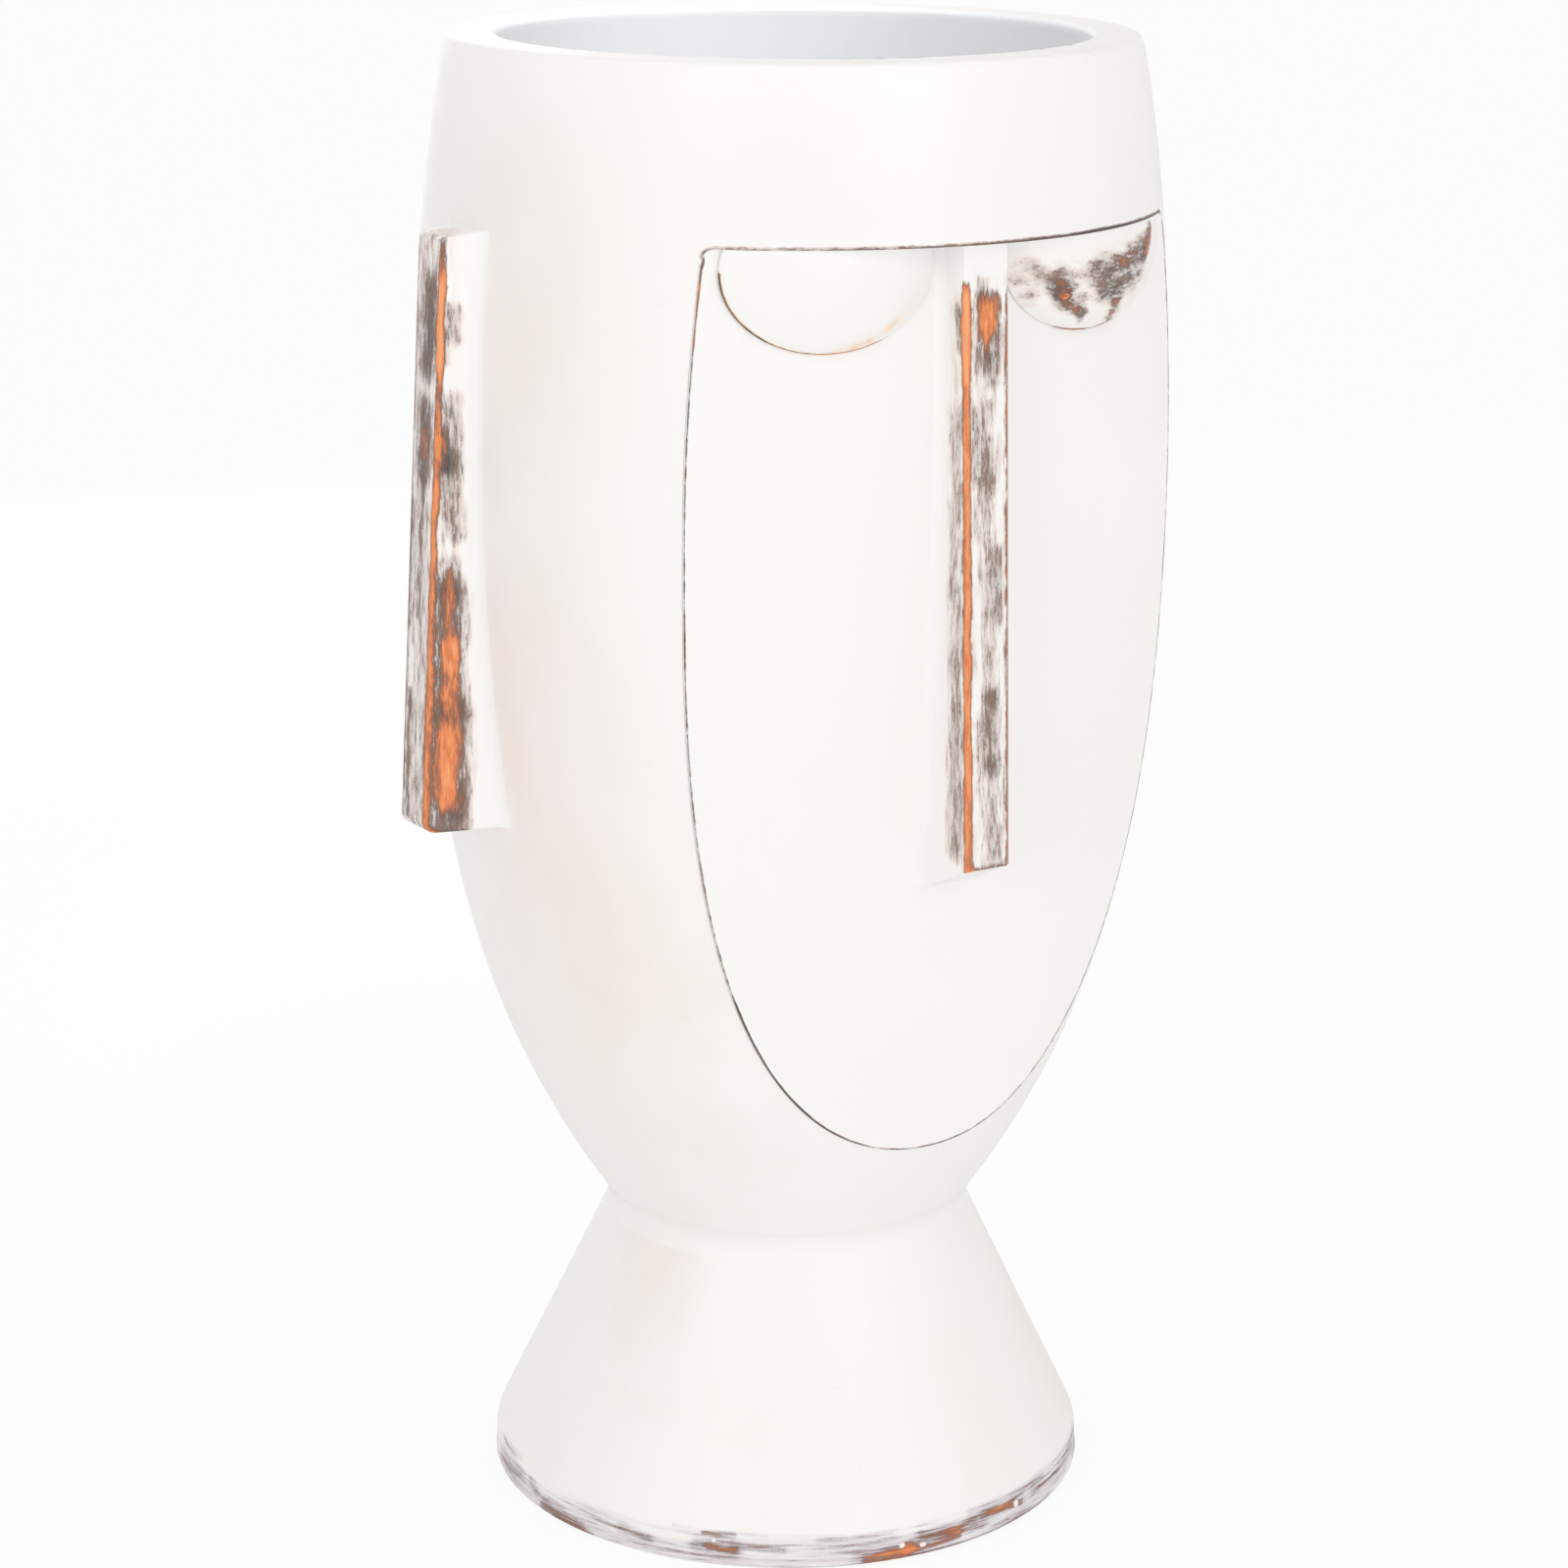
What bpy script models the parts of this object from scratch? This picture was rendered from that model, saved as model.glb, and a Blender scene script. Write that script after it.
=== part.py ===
"""A tall cachepot: a hollow head with a plain abstract face, standing on a flared hollow foot.

The head and the foot are separate castings, bedded on each other at the neck. The face is a bowed tile
set in a pocket of the head, and the nose, the eyelids and the ears are bars and domes bonded on.
The face looks along -Y, the axis of the pot is Z, and the pot stands on Z = 0.
"""
from math import atan2, cos, pi, radians, sin, sqrt, tan

import bmesh
import bpy
import numpy as np
from mathutils import Matrix, Vector
from mathutils.geometry import interpolate_bezier

# Overall form of the head and foot
TOTAL_HEIGHT = 0.660
RIM_RADIUS = 0.150
BELLY_RADIUS = 0.166
BELLY_HEIGHT = 0.473
NECK_RADIUS = 0.081
NECK_HEIGHT = 0.131
NECK_LEAN = radians(35.0)
NECK_PULL = 0.092
BELLY_PULL_DOWN = 0.186
BELLY_PULL_UP = 0.123
FOOT_RADIUS = 0.137
FOOT_BAND_HEIGHT = 0.015
FOOT_BAND_LEAN = 0.0005

# Walls and edges
SHELL_WALL = 0.0215
FLOOR_THICKNESS = 0.032
FLOOR_CORNER_RADIUS = 0.014
RIM_EDGE_RADIUS = 0.0025
FOOT_WALL = 0.016
FOOT_TOP_THICKNESS = 0.018
SHOULDER_RADIUS = 0.008
FOOT_EDGE_RADIUS = 0.003
FOOT_MOUTH_RADIUS = 0.002

# Mortar bed at the neck
BED_THICKNESS = 0.003
COVE_REACH = 0.007
COVE_DEPTH = 0.0016
COVE_TIP = 0.0004

# Face tile
BROW_DROP = 0.0725
FACE_LENGTH = 0.401
FACE_WIDEST_DROP = 0.118
FACE_HALF_WIDTH = 0.1215
BROW_DRAW_IN = 0.0084
FACE_LENGTH_POWER = 2.6
FACE_WIDTH_POWER = 2.2
FACE_BOW_RADIUS = 0.350
FACE_CORNER_RADIUS = 0.004
FACE_EDGE_MARGIN = 0.0015
FACE_STANDS_PROUD = 0.0008
TILE_THICKNESS = 0.012
BACKING_WALL = 0.014
LEDGE_THICKNESS = 0.018

# Nose
NOSE_HALF_WIDTH = 0.0108
NOSE_LENGTH = 0.265
NOSE_REACH_TOP = 0.0145
NOSE_REACH_BOTTOM = 0.0290
NOSE_DRAFT = radians(5.7)
NOSE_UNDERCUT = 0.0135
NOSE_EDGE_RADIUS = 0.0016

# Eyelids
EYELID_SPACING = 0.1274
EYELID_HALF_WIDTH = 0.047
EYELID_HALF_HEIGHT = 0.0345
EYELID_CENTRE_DROP = 0.010
EYELID_BULGE = 0.0125
EYELID_STEP = 0.0015

# Ears
EAR_TOP_DROP = 0.001
EAR_LENGTH = 0.256
EAR_HALF_THICKNESS = 0.0109
EAR_REACH_TOP = 0.0165
EAR_REACH_BOTTOM = 0.0340
EAR_DRAFT = radians(14.0)
EAR_EDGE_RADIUS = 0.0020
EAR_TOE_RADIUS = 0.0060
EAR_TOP_FALL = 0.0022

# Fit and fineness
GAP = 0.0003
TURN_STEPS = 80
WALL_POINTS_BELOW = 11
WALL_POINTS_ABOVE = 7
CORNER_STEPS = 3
FACE_COLUMNS = 16
FACE_ROWS = 40
TILE_BACK_COLUMNS = 8
TILE_BACK_ROWS = 16
OUTLINE_STEPS = 22
COVE_STEPS = 4
EYELID_SEGMENTS = 32
FINE_POINTS = 160
FLAT_ANGLE = radians(1.0)
FOLD_ANGLE = radians(45.0)
MERGE = 0.00001

# Places that follow from the sizes above
BROW_HEIGHT = TOTAL_HEIGHT - BROW_DROP
CHIN_HEIGHT = BROW_HEIGHT - FACE_LENGTH
FACE_WIDEST_HEIGHT = BROW_HEIGHT - FACE_WIDEST_DROP
HEAD_BASE = NECK_HEIGHT + BED_THICKNESS / 2
FOOT_TOP = NECK_HEIGHT - BED_THICKNESS / 2
FLOOR_HEIGHT = HEAD_BASE + FLOOR_THICKNESS
CLEAR_OF_ALL = 2 * BELLY_RADIUS
RELIEF_SPAN = BELLY_RADIUS

PAINT_WHITE = (0.90, 0.885, 0.86)
PAINT_SHADED = (0.86, 0.84, 0.81)
PAINT_WORN = (0.72, 0.55, 0.44)
MORTAR_GREY = (0.80, 0.78, 0.75)


def clear_scene():
    for item in list(bpy.data.objects):
        bpy.data.objects.remove(item)


def new_collection(name):
    collection = bpy.data.collections.new(name)
    bpy.context.scene.collection.children.link(collection)
    return collection


def paint(name, colour, roughness):
    material = bpy.data.materials.new(name)
    material.use_nodes = True
    shader = material.node_tree.nodes["Principled BSDF"]
    shader.inputs["Base Color"].default_value = (*colour, 1.0)
    shader.inputs["Roughness"].default_value = roughness
    shader.inputs["Metallic"].default_value = 0.0
    return material


def as_piece(item, material):
    item.data.materials.append(material)
    PIECES.objects.link(item)


def as_cutter(item):
    item.hide_render = True
    item.display_type = "WIRE"
    CUTTERS.objects.link(item)
    return item


def cut(item, cutter, operation="DIFFERENCE"):
    modifier = item.modifiers.new(operation.title() + " " + cutter.name, "BOOLEAN")
    modifier.operation = operation
    modifier.object = cutter


# Turned shapes
def arc(centre, radius, start, end):
    """Points of a corner in the profile plane, from one angle to the other, both ends included."""
    angles = np.linspace(start, end, CORNER_STEPS + 1)
    return [(centre[0] + radius * cos(a), centre[1] + radius * sin(a)) for a in angles]


def turned(name, profile):
    """A closed solid of revolution; the profile runs from the axis, down the outer side, to the axis."""
    mesh = bpy.data.meshes.new(name)
    points = [(radius, 0.0, height) for radius, height in profile]
    mesh.from_pydata(points, [(i, i + 1) for i in range(len(points) - 1)], [])
    item = bpy.data.objects.new(name, mesh)
    screw = item.modifiers.new("Turn", "SCREW")
    screw.axis = "Z"
    screw.steps = TURN_STEPS
    screw.render_steps = TURN_STEPS
    screw.use_merge_vertices = True
    screw.merge_threshold = MERGE
    screw.use_smooth_shade = True
    return item


def wall_curve(points_below, points_above):
    """The outer side of the head from the neck up to the rim, as two curved spans joined at the belly."""
    neck = Vector((NECK_RADIUS, 0.0, NECK_HEIGHT))
    neck_handle = neck + NECK_PULL * Vector((sin(NECK_LEAN), 0.0, cos(NECK_LEAN)))
    belly = Vector((BELLY_RADIUS, 0.0, BELLY_HEIGHT))
    below_handle = belly - Vector((0.0, 0.0, BELLY_PULL_DOWN))
    above_handle = belly + Vector((0.0, 0.0, BELLY_PULL_UP))
    rim = Vector((RIM_RADIUS, 0.0, TOTAL_HEIGHT))
    below = interpolate_bezier(neck, neck_handle, below_handle, belly, points_below)
    above = interpolate_bezier(belly, above_handle, rim, rim, points_above)
    return [(point.x, point.z) for point in below + above[1:]]


FINE_WALL = wall_curve(FINE_POINTS, FINE_POINTS)


def wall_radius(height):
    """Outer radius of the head at a height."""
    return float(np.interp(height, [point[1] for point in FINE_WALL], [point[0] for point in FINE_WALL]))


def head_profile(grow):
    """Outer profile of the head, offset outwards by grow, from the rim down to the flat base."""
    rim = TOTAL_HEIGHT + grow
    edge = arc((RIM_RADIUS + grow - RIM_EDGE_RADIUS, rim - RIM_EDGE_RADIUS), RIM_EDGE_RADIUS, pi / 2, 0.0)
    side = [(radius + grow, height) for radius, height in wall_curve(WALL_POINTS_BELOW, WALL_POINTS_ABOVE)]
    side = [point for point in side if HEAD_BASE < point[1] < rim - 2 * RIM_EDGE_RADIUS]
    foot = (wall_radius(HEAD_BASE) + grow, HEAD_BASE)
    return [(0.0, rim)] + edge + side[::-1] + [foot, (0.0, HEAD_BASE)]


def cavity_profile():
    """Profile of the room inside the head, one wall in from the outer side, open at the top."""
    outer = wall_curve(WALL_POINTS_BELOW, WALL_POINTS_ABOVE)
    inner = []
    for before, here, after in zip(outer, outer[1:], outer[2:]):
        slope = atan2(after[0] - before[0], after[1] - before[1])
        inner.append((here[0] - SHELL_WALL * cos(slope), here[1] + SHELL_WALL * sin(slope)))
    mouth = RIM_RADIUS - SHELL_WALL
    lip_base = TOTAL_HEIGHT - RIM_EDGE_RADIUS
    lip = arc((mouth + RIM_EDGE_RADIUS, lip_base), RIM_EDGE_RADIUS, pi / 2, pi)
    corner_top = FLOOR_HEIGHT + FLOOR_CORNER_RADIUS
    heights = [point[1] for point in inner]
    corner_radius = float(np.interp(corner_top, heights, [point[0] for point in inner]))
    side = [point for point in inner if corner_top < point[1] < lip_base - RIM_EDGE_RADIUS]
    corner = arc((corner_radius - FLOOR_CORNER_RADIUS, corner_top), FLOOR_CORNER_RADIUS, 0.0, -pi / 2)
    above = TOTAL_HEIGHT + SHELL_WALL
    return [(0.0, above), (lip[0][0], above)] + lip + side[::-1] + corner + [(0.0, FLOOR_HEIGHT)]


# The foot and the mortar bed
def foot_radius(height):
    """Outer radius of the cone of the foot at a height."""
    shoulder = FOOT_RADIUS - FOOT_BAND_LEAN
    share = (height - FOOT_BAND_HEIGHT) / (NECK_HEIGHT - FOOT_BAND_HEIGHT)
    return shoulder + (NECK_RADIUS - shoulder) * share


def rounded_corner(before, corner, after):
    """Points of a soft corner that leaves one side and joins the other."""
    places = [Vector((place[0], 0.0, place[1])) for place in (before, corner, after)]
    soft = interpolate_bezier(places[0], places[1], places[1], places[2], CORNER_STEPS + 2)
    return [(point.x, point.z) for point in soft]


def foot_profile():
    """Profile of the hollow foot, from its flat top down the outside, round its edge and up inside."""
    flare = atan2(FOOT_RADIUS - NECK_RADIUS, NECK_HEIGHT - FOOT_BAND_HEIGHT)
    wall_across = FOOT_WALL / cos(flare)
    ceiling = FOOT_TOP - FOOT_TOP_THICKNESS
    shoulder = (FOOT_RADIUS - FOOT_BAND_LEAN, FOOT_BAND_HEIGHT)
    above = (foot_radius(FOOT_BAND_HEIGHT + SHOULDER_RADIUS), FOOT_BAND_HEIGHT + SHOULDER_RADIUS)
    below = (shoulder[0], FOOT_BAND_HEIGHT - SHOULDER_RADIUS)
    outside = [(0.0, FOOT_TOP), (foot_radius(FOOT_TOP), FOOT_TOP)]
    outside += rounded_corner(above, shoulder, below)
    outside += arc((FOOT_RADIUS - FOOT_EDGE_RADIUS, FOOT_EDGE_RADIUS), FOOT_EDGE_RADIUS, 0.0, -pi / 2)
    mouth = FOOT_RADIUS - FOOT_WALL
    inside = arc((mouth + FOOT_MOUTH_RADIUS, FOOT_MOUTH_RADIUS), FOOT_MOUTH_RADIUS, -pi / 2, -pi)
    inside += [(foot_radius(FOOT_BAND_HEIGHT) - wall_across, FOOT_BAND_HEIGHT)]
    inside += [(foot_radius(ceiling) - wall_across, ceiling), (0.0, ceiling)]
    return outside + inside


def bed_profile():
    """Profile of the mortar bed: a thin disc, with a lip round the neck that is hollow on its outside."""
    half = BED_THICKNESS / 2 - GAP
    upper = NECK_HEIGHT + COVE_REACH
    lower = NECK_HEIGHT - COVE_REACH
    upper_radius = wall_radius(upper) + GAP
    lower_radius = foot_radius(lower) + GAP
    cove = []
    for share in np.linspace(0.0, 1.0, COVE_STEPS + 1):
        radius = upper_radius + (lower_radius - upper_radius) * share + COVE_TIP
        cove.append((radius - COVE_DEPTH * sin(pi * share), upper + (lower - upper) * share))
    top = [(0.0, NECK_HEIGHT + half), (wall_radius(HEAD_BASE) + GAP, NECK_HEIGHT + half)]
    bottom = [(foot_radius(FOOT_TOP) + GAP, NECK_HEIGHT - half), (0.0, NECK_HEIGHT - half)]
    return top + [(upper_radius, upper)] + cove + [(lower_radius, lower)] + bottom


# The face: its outline seen from the front, and the bowed surface that fills it
def face_half_width(height):
    if height >= FACE_WIDEST_HEIGHT:
        rise = (height - FACE_WIDEST_HEIGHT) / FACE_WIDEST_DROP
        return FACE_HALF_WIDTH - BROW_DRAW_IN * rise ** 2
    fall = (FACE_WIDEST_HEIGHT - height) / (FACE_WIDEST_HEIGHT - CHIN_HEIGHT)
    return FACE_HALF_WIDTH * (1.0 - fall ** FACE_LENGTH_POWER) ** (1.0 / FACE_WIDTH_POWER)


def face_front(across, height):
    """How far in front of the axis the face lies; at the outline it meets the round side of the head."""
    level = max(height, CHIN_HEIGHT)
    half_width = face_half_width(level)
    edge = sqrt(wall_radius(level) ** 2 - half_width ** 2)
    return edge + (half_width ** 2 - across ** 2) / (2 * FACE_BOW_RADIUS)


def relief_block(name, setback, far, top, columns, rows):
    """A block from the face surface, moved inwards by setback, to the flat plane Y = far."""
    bottom = HEAD_BASE - BED_THICKNESS
    form = bmesh.new()
    bmesh.ops.create_grid(form, x_segments=columns, y_segments=rows, size=0.5)
    for vertex in form.verts:
        across = 2 * RELIEF_SPAN * vertex.co.x
        height = bottom + (top - bottom) * (vertex.co.y + 0.5)
        vertex.co = (across, setback - face_front(across, height), height)
    back = bmesh.ops.extrude_face_region(form, geom=form.faces[:])
    for vertex in back["geom"]:
        if isinstance(vertex, bmesh.types.BMVert):
            vertex.co.y = far
    bmesh.ops.recalc_face_normals(form, faces=form.faces[:])
    return mesh_object(name, form)


def mesh_object(name, form):
    mesh = bpy.data.meshes.new(name)
    form.to_mesh(mesh)
    form.free()
    return bpy.data.objects.new(name, mesh)


def face_outline(grow, top):
    """The outline of the face seen from the front, grown all round, with small round top corners."""
    half_width = FACE_HALF_WIDTH + grow
    length = FACE_WIDEST_HEIGHT - CHIN_HEIGHT + grow
    lower = []
    for angle in np.linspace(0.0, pi / 2, OUTLINE_STEPS)[:-1]:
        across = half_width * cos(angle) ** (2.0 / FACE_WIDTH_POWER)
        drop = length * sin(angle) ** (2.0 / FACE_LENGTH_POWER)
        lower.append((across, FACE_WIDEST_HEIGHT - drop))
    brow_half = half_width - BROW_DRAW_IN
    centre = (brow_half - FACE_CORNER_RADIUS, top - FACE_CORNER_RADIUS)
    corner = arc(centre, FACE_CORNER_RADIUS, pi / 2, 0.0)
    upper = [(face_half_width(height) + grow, height)
             for height in np.linspace(corner[-1][1], FACE_WIDEST_HEIGHT, CORNER_STEPS + 2)[1:-1]]
    right = corner + upper + lower
    left = [(-across, height) for across, height in right[::-1]]
    return right + [(0.0, CHIN_HEIGHT - grow)] + left


def drawn_outline(outline, depth):
    """The outline in the XZ plane drawn out to half the depth on each side of it, as one closed form."""
    curve = bpy.data.curves.new("outline", "CURVE")
    curve.dimensions = "2D"
    curve.fill_mode = "BOTH"
    curve.extrude = depth / 2
    spline = curve.splines.new("POLY")
    spline.points.add(len(outline) - 1)
    for point, (across, height) in zip(spline.points, outline):
        point.co = (across, height, 0.0, 1.0)
    spline.use_cyclic_u = True
    drawn = bpy.data.objects.new("outline", curve)
    CUTTERS.objects.link(drawn)
    graph = bpy.context.evaluated_depsgraph_get()
    mesh = bpy.data.meshes.new_from_object(drawn.evaluated_get(graph))
    bpy.data.objects.remove(drawn)
    form = bmesh.new()
    form.from_mesh(mesh)
    bpy.data.meshes.remove(mesh)
    bmesh.ops.remove_doubles(form, verts=form.verts[:], dist=MERGE)
    bmesh.ops.rotate(form, verts=form.verts[:], matrix=Matrix.Rotation(pi / 2, 3, "X"))
    bmesh.ops.recalc_face_normals(form, faces=form.faces[:])
    return form


def face_prism(name, grow, top):
    """The face outline drawn out from the axis of the pot to clear of its front."""
    form = drawn_outline(face_outline(grow, top), CLEAR_OF_ALL)
    bmesh.ops.translate(form, verts=form.verts[:], vec=(0.0, -CLEAR_OF_ALL / 2, 0.0))
    return mesh_object(name, form)


def side_bar(name, outline, outer_side, half_thickness, draft, edge_radius, turn):
    """A bar with the given side outline, its flanks splayed towards its root, turned about the axis.

    The outline lies in the XZ plane with the axis of the pot at X = 0; outer_side holds the top and the
    bottom point of the bar's outer face.
    """
    form = drawn_outline(outline, 2 * half_thickness)
    bmesh.ops.dissolve_limit(form, angle_limit=FLAT_ANGLE, verts=form.verts[:], edges=form.edges[:])
    sharp = [edge for edge in form.edges
             if edge.verts[0].co.y * edge.verts[1].co.y > 0 and edge.calc_face_angle() > FOLD_ANGLE]
    top, bottom = outer_side
    for vertex in form.verts:
        outer = np.interp(vertex.co.z, (bottom[1], top[1]), (bottom[0], top[0]))
        half = half_thickness + tan(draft) * (outer - vertex.co.x)
        vertex.co.y = half if vertex.co.y > 0 else -half
    bmesh.ops.bevel(form, geom=sharp, offset=edge_radius, offset_type="OFFSET", affect="EDGES",
                    segments=CORNER_STEPS, profile=0.5, material=-1)
    bmesh.ops.rotate(form, verts=form.verts[:], matrix=Matrix.Rotation(turn, 3, "Z"))
    return mesh_object(name, form)


# Pieces
def make_head_shell():
    """The hollow head: a turned vessel with a flat rim, pushed in behind the face, closed below."""
    head = turned("head_shell", head_profile(0.0))
    cavity = as_cutter(turned("head_cavity", cavity_profile()))
    cavity_front = relief_block("cavity_front", TILE_THICKNESS + BACKING_WALL, -CLEAR_OF_ALL,
                                BROW_HEIGHT + LEDGE_THICKNESS, TILE_BACK_COLUMNS, TILE_BACK_ROWS)
    cut(cavity, as_cutter(cavity_front))
    pocket = as_cutter(face_prism("face_pocket", FACE_EDGE_MARGIN + GAP, BROW_HEIGHT))
    pocket_floor = relief_block("pocket_floor", TILE_THICKNESS + GAP, -CLEAR_OF_ALL,
                                TOTAL_HEIGHT, TILE_BACK_COLUMNS, TILE_BACK_ROWS)
    cut(pocket, as_cutter(pocket_floor), "INTERSECT")
    cut(head, cavity)
    cut(head, pocket)
    as_piece(head, paint("head_paint", PAINT_WHITE, 0.45))


def make_foot():
    """The hollow flared foot: a plain cone with a short upright band that it stands on."""
    foot = turned("foot", foot_profile())
    as_piece(foot, paint("foot_paint", PAINT_SHADED, 0.50))


def make_neck_bed():
    """The mortar bed between foot and head, pointed to a small hollow cove round the outside."""
    bed = turned("neck_bed", bed_profile())
    as_piece(bed, paint("bed_paint", MORTAR_GREY, 0.60))


def make_face_tile():
    """The bowed face tile, set in its pocket with its edge a little proud of the round head."""
    tile = face_prism("face_tile", FACE_EDGE_MARGIN, BROW_HEIGHT - GAP)
    tile_back = relief_block("tile_back", TILE_THICKNESS, -CLEAR_OF_ALL, TOTAL_HEIGHT,
                             TILE_BACK_COLUMNS, TILE_BACK_ROWS)
    tile_front = relief_block("tile_front", 0.0, -CLEAR_OF_ALL, TOTAL_HEIGHT, FACE_COLUMNS, FACE_ROWS)
    cut(tile, as_cutter(tile_back), "INTERSECT")
    cut(tile, as_cutter(tile_front))
    cut(tile, as_cutter(turned("tile_round", head_profile(FACE_STANDS_PROUD))), "INTERSECT")
    as_piece(tile, paint("tile_paint", PAINT_WHITE, 0.45))


def make_nose(backing):
    """The nose: a straight bar under the brow, reaching further forward towards its undercut tip."""
    top = BROW_HEIGHT - GAP
    tip = BROW_HEIGHT - NOSE_LENGTH
    face_top = face_front(0.0, top)
    face_tip = face_front(0.0, tip)
    root = TILE_THICKNESS / 2
    undercut = NOSE_UNDERCUT * (NOSE_REACH_BOTTOM + root) / NOSE_REACH_BOTTOM
    front_top = (face_top + NOSE_REACH_TOP, top)
    front_tip = (face_tip + NOSE_REACH_BOTTOM, tip)
    outline = [(face_top - root, top), front_top, front_tip, (face_tip - root, tip - undercut)]
    nose = side_bar("nose", outline, (front_top, front_tip), NOSE_HALF_WIDTH, NOSE_DRAFT,
                    NOSE_EDGE_RADIUS, -pi / 2)
    cut(nose, backing)
    as_piece(nose, paint("nose_paint", PAINT_WORN, 0.45))


def make_eyelid(name, side, backing):
    """An eyelid: a shallow dome cut off under the brow, bowed like the face tile that it is bonded on."""
    across = side * EYELID_SPACING / 2
    height = BROW_HEIGHT - EYELID_CENTRE_DROP
    facing = atan2(across, FACE_BOW_RADIUS)
    centre = Vector((across, -face_front(across, height), height))
    centre += EYELID_STEP * Vector((sin(facing), -cos(facing), 0.0))
    form = bmesh.new()
    bmesh.ops.create_uvsphere(form, u_segments=EYELID_SEGMENTS, v_segments=EYELID_SEGMENTS // 2, radius=1.0)
    size = Vector((EYELID_HALF_WIDTH, EYELID_BULGE, EYELID_HALF_HEIGHT))
    bmesh.ops.scale(form, verts=form.verts[:], vec=size)
    for vertex in form.verts:
        vertex.co.y += vertex.co.x ** 2 / (2 * FACE_BOW_RADIUS)
    bmesh.ops.rotate(form, verts=form.verts[:], matrix=Matrix.Rotation(facing, 3, "Z"))
    bmesh.ops.translate(form, verts=form.verts[:], vec=centre)
    trimmed = bmesh.ops.bisect_plane(form, geom=form.verts[:] + form.edges[:] + form.faces[:],
                                     plane_co=(0.0, 0.0, BROW_HEIGHT - GAP), plane_no=(0.0, 0.0, 1.0),
                                     clear_outer=True)
    rim = [part for part in trimmed["geom_cut"] if isinstance(part, bmesh.types.BMEdge)]
    bmesh.ops.contextual_create(form, geom=rim)
    bmesh.ops.recalc_face_normals(form, faces=form.faces[:])
    eyelid = mesh_object(name, form)
    cut(eyelid, backing)
    as_piece(eyelid, paint(name + "_paint", PAINT_SHADED, 0.45))


def make_ear(name, turn, head_round):
    """An ear: an upright bar on the side of the head, level with the brow, thicker at its root."""
    top = BROW_HEIGHT - EAR_TOP_DROP
    toe = top - EAR_LENGTH
    root = SHELL_WALL / 2
    outer_top = (wall_radius(top) + EAR_REACH_TOP, top - EAR_TOP_FALL)
    outer_toe = (wall_radius(toe) + EAR_REACH_BOTTOM, toe)
    toe_centre = (outer_toe[0] - EAR_TOE_RADIUS, toe + EAR_TOE_RADIUS)
    outline = [(wall_radius(top) - root, top), outer_top]
    outline += arc(toe_centre, EAR_TOE_RADIUS, 0.0, -pi / 2)
    outline += [(wall_radius(toe) - root, toe)]
    ear = side_bar(name, outline, (outer_top, outer_toe), EAR_HALF_THICKNESS, EAR_DRAFT,
                   EAR_EDGE_RADIUS, turn)
    cut(ear, head_round)
    as_piece(ear, paint(name + "_paint", PAINT_WORN, 0.45))


clear_scene()
PIECES = new_collection("face_cachepot")
CUTTERS = new_collection("cutters")
make_foot()
make_neck_bed()
make_head_shell()
make_face_tile()
TILE_BACKING = as_cutter(relief_block("tile_backing", -GAP, 0.0, TOTAL_HEIGHT, FACE_COLUMNS, FACE_ROWS))
make_nose(TILE_BACKING)
make_eyelid("eyelid_left", -1.0, TILE_BACKING)
make_eyelid("eyelid_right", 1.0, TILE_BACKING)
HEAD_ROUND = as_cutter(turned("head_round", head_profile(GAP)))
make_ear("ear_left", pi, HEAD_ROUND)
make_ear("ear_right", 0.0, HEAD_ROUND)
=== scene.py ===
"""A tall cachepot in the form of a plain abstract head, painted white and rubbed back on its arrises.

The pieces are dressed in the order in which the pot is put together: foot, mortar bed, head, face panel,
nose, eyelids and ears. The face looks along -Y and the pot stands on Z = 0.
"""
from math import atan2, cos, pi, radians, sin, sqrt, tan

import bmesh
import bpy
import numpy as np
from mathutils import Matrix, Vector, noise
from mathutils.geometry import interpolate_bezier
from mathutils.kdtree import KDTree


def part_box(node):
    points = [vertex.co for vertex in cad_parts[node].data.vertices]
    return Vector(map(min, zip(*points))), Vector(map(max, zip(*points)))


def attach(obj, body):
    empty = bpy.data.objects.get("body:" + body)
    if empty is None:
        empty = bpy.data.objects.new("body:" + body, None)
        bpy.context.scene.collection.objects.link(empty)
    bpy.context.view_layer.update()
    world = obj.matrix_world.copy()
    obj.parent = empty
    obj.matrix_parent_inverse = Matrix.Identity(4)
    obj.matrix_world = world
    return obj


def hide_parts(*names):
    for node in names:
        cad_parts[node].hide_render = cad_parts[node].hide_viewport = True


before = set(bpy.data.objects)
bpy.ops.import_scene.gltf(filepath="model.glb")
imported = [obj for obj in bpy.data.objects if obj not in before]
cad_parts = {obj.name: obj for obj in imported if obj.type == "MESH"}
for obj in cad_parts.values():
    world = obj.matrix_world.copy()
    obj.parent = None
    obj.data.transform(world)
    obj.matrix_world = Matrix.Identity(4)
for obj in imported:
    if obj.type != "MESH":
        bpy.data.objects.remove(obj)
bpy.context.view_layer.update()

# The foot
# A hollow cone with a short upright band, cast in terracotta. It carries a dark and an orange coat under
# the white paint, and the band is rubbed back to them where the pot is handled and stood down.
FOOT_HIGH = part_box("foot")[1]
HEAD_LOW, HEAD_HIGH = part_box("head_shell")
FOOT_RADIUS = FOOT_HIGH.x
FOOT_TOP = FOOT_HIGH.z
NECK_HEIGHT = (FOOT_TOP + HEAD_LOW.z) / 2
NECK_RADIUS = 0.081
FOOT_BAND_HEIGHT = 0.015
FOOT_BAND_LEAN = 0.0005
FOOT_WALL = 0.016
FOOT_TOP_THICKNESS = 0.018
FOOT_CEILING = FOOT_TOP - FOOT_TOP_THICKNESS
SHOULDER_RADIUS = 0.008
FOOT_EDGE_RADIUS = 0.003
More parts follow.
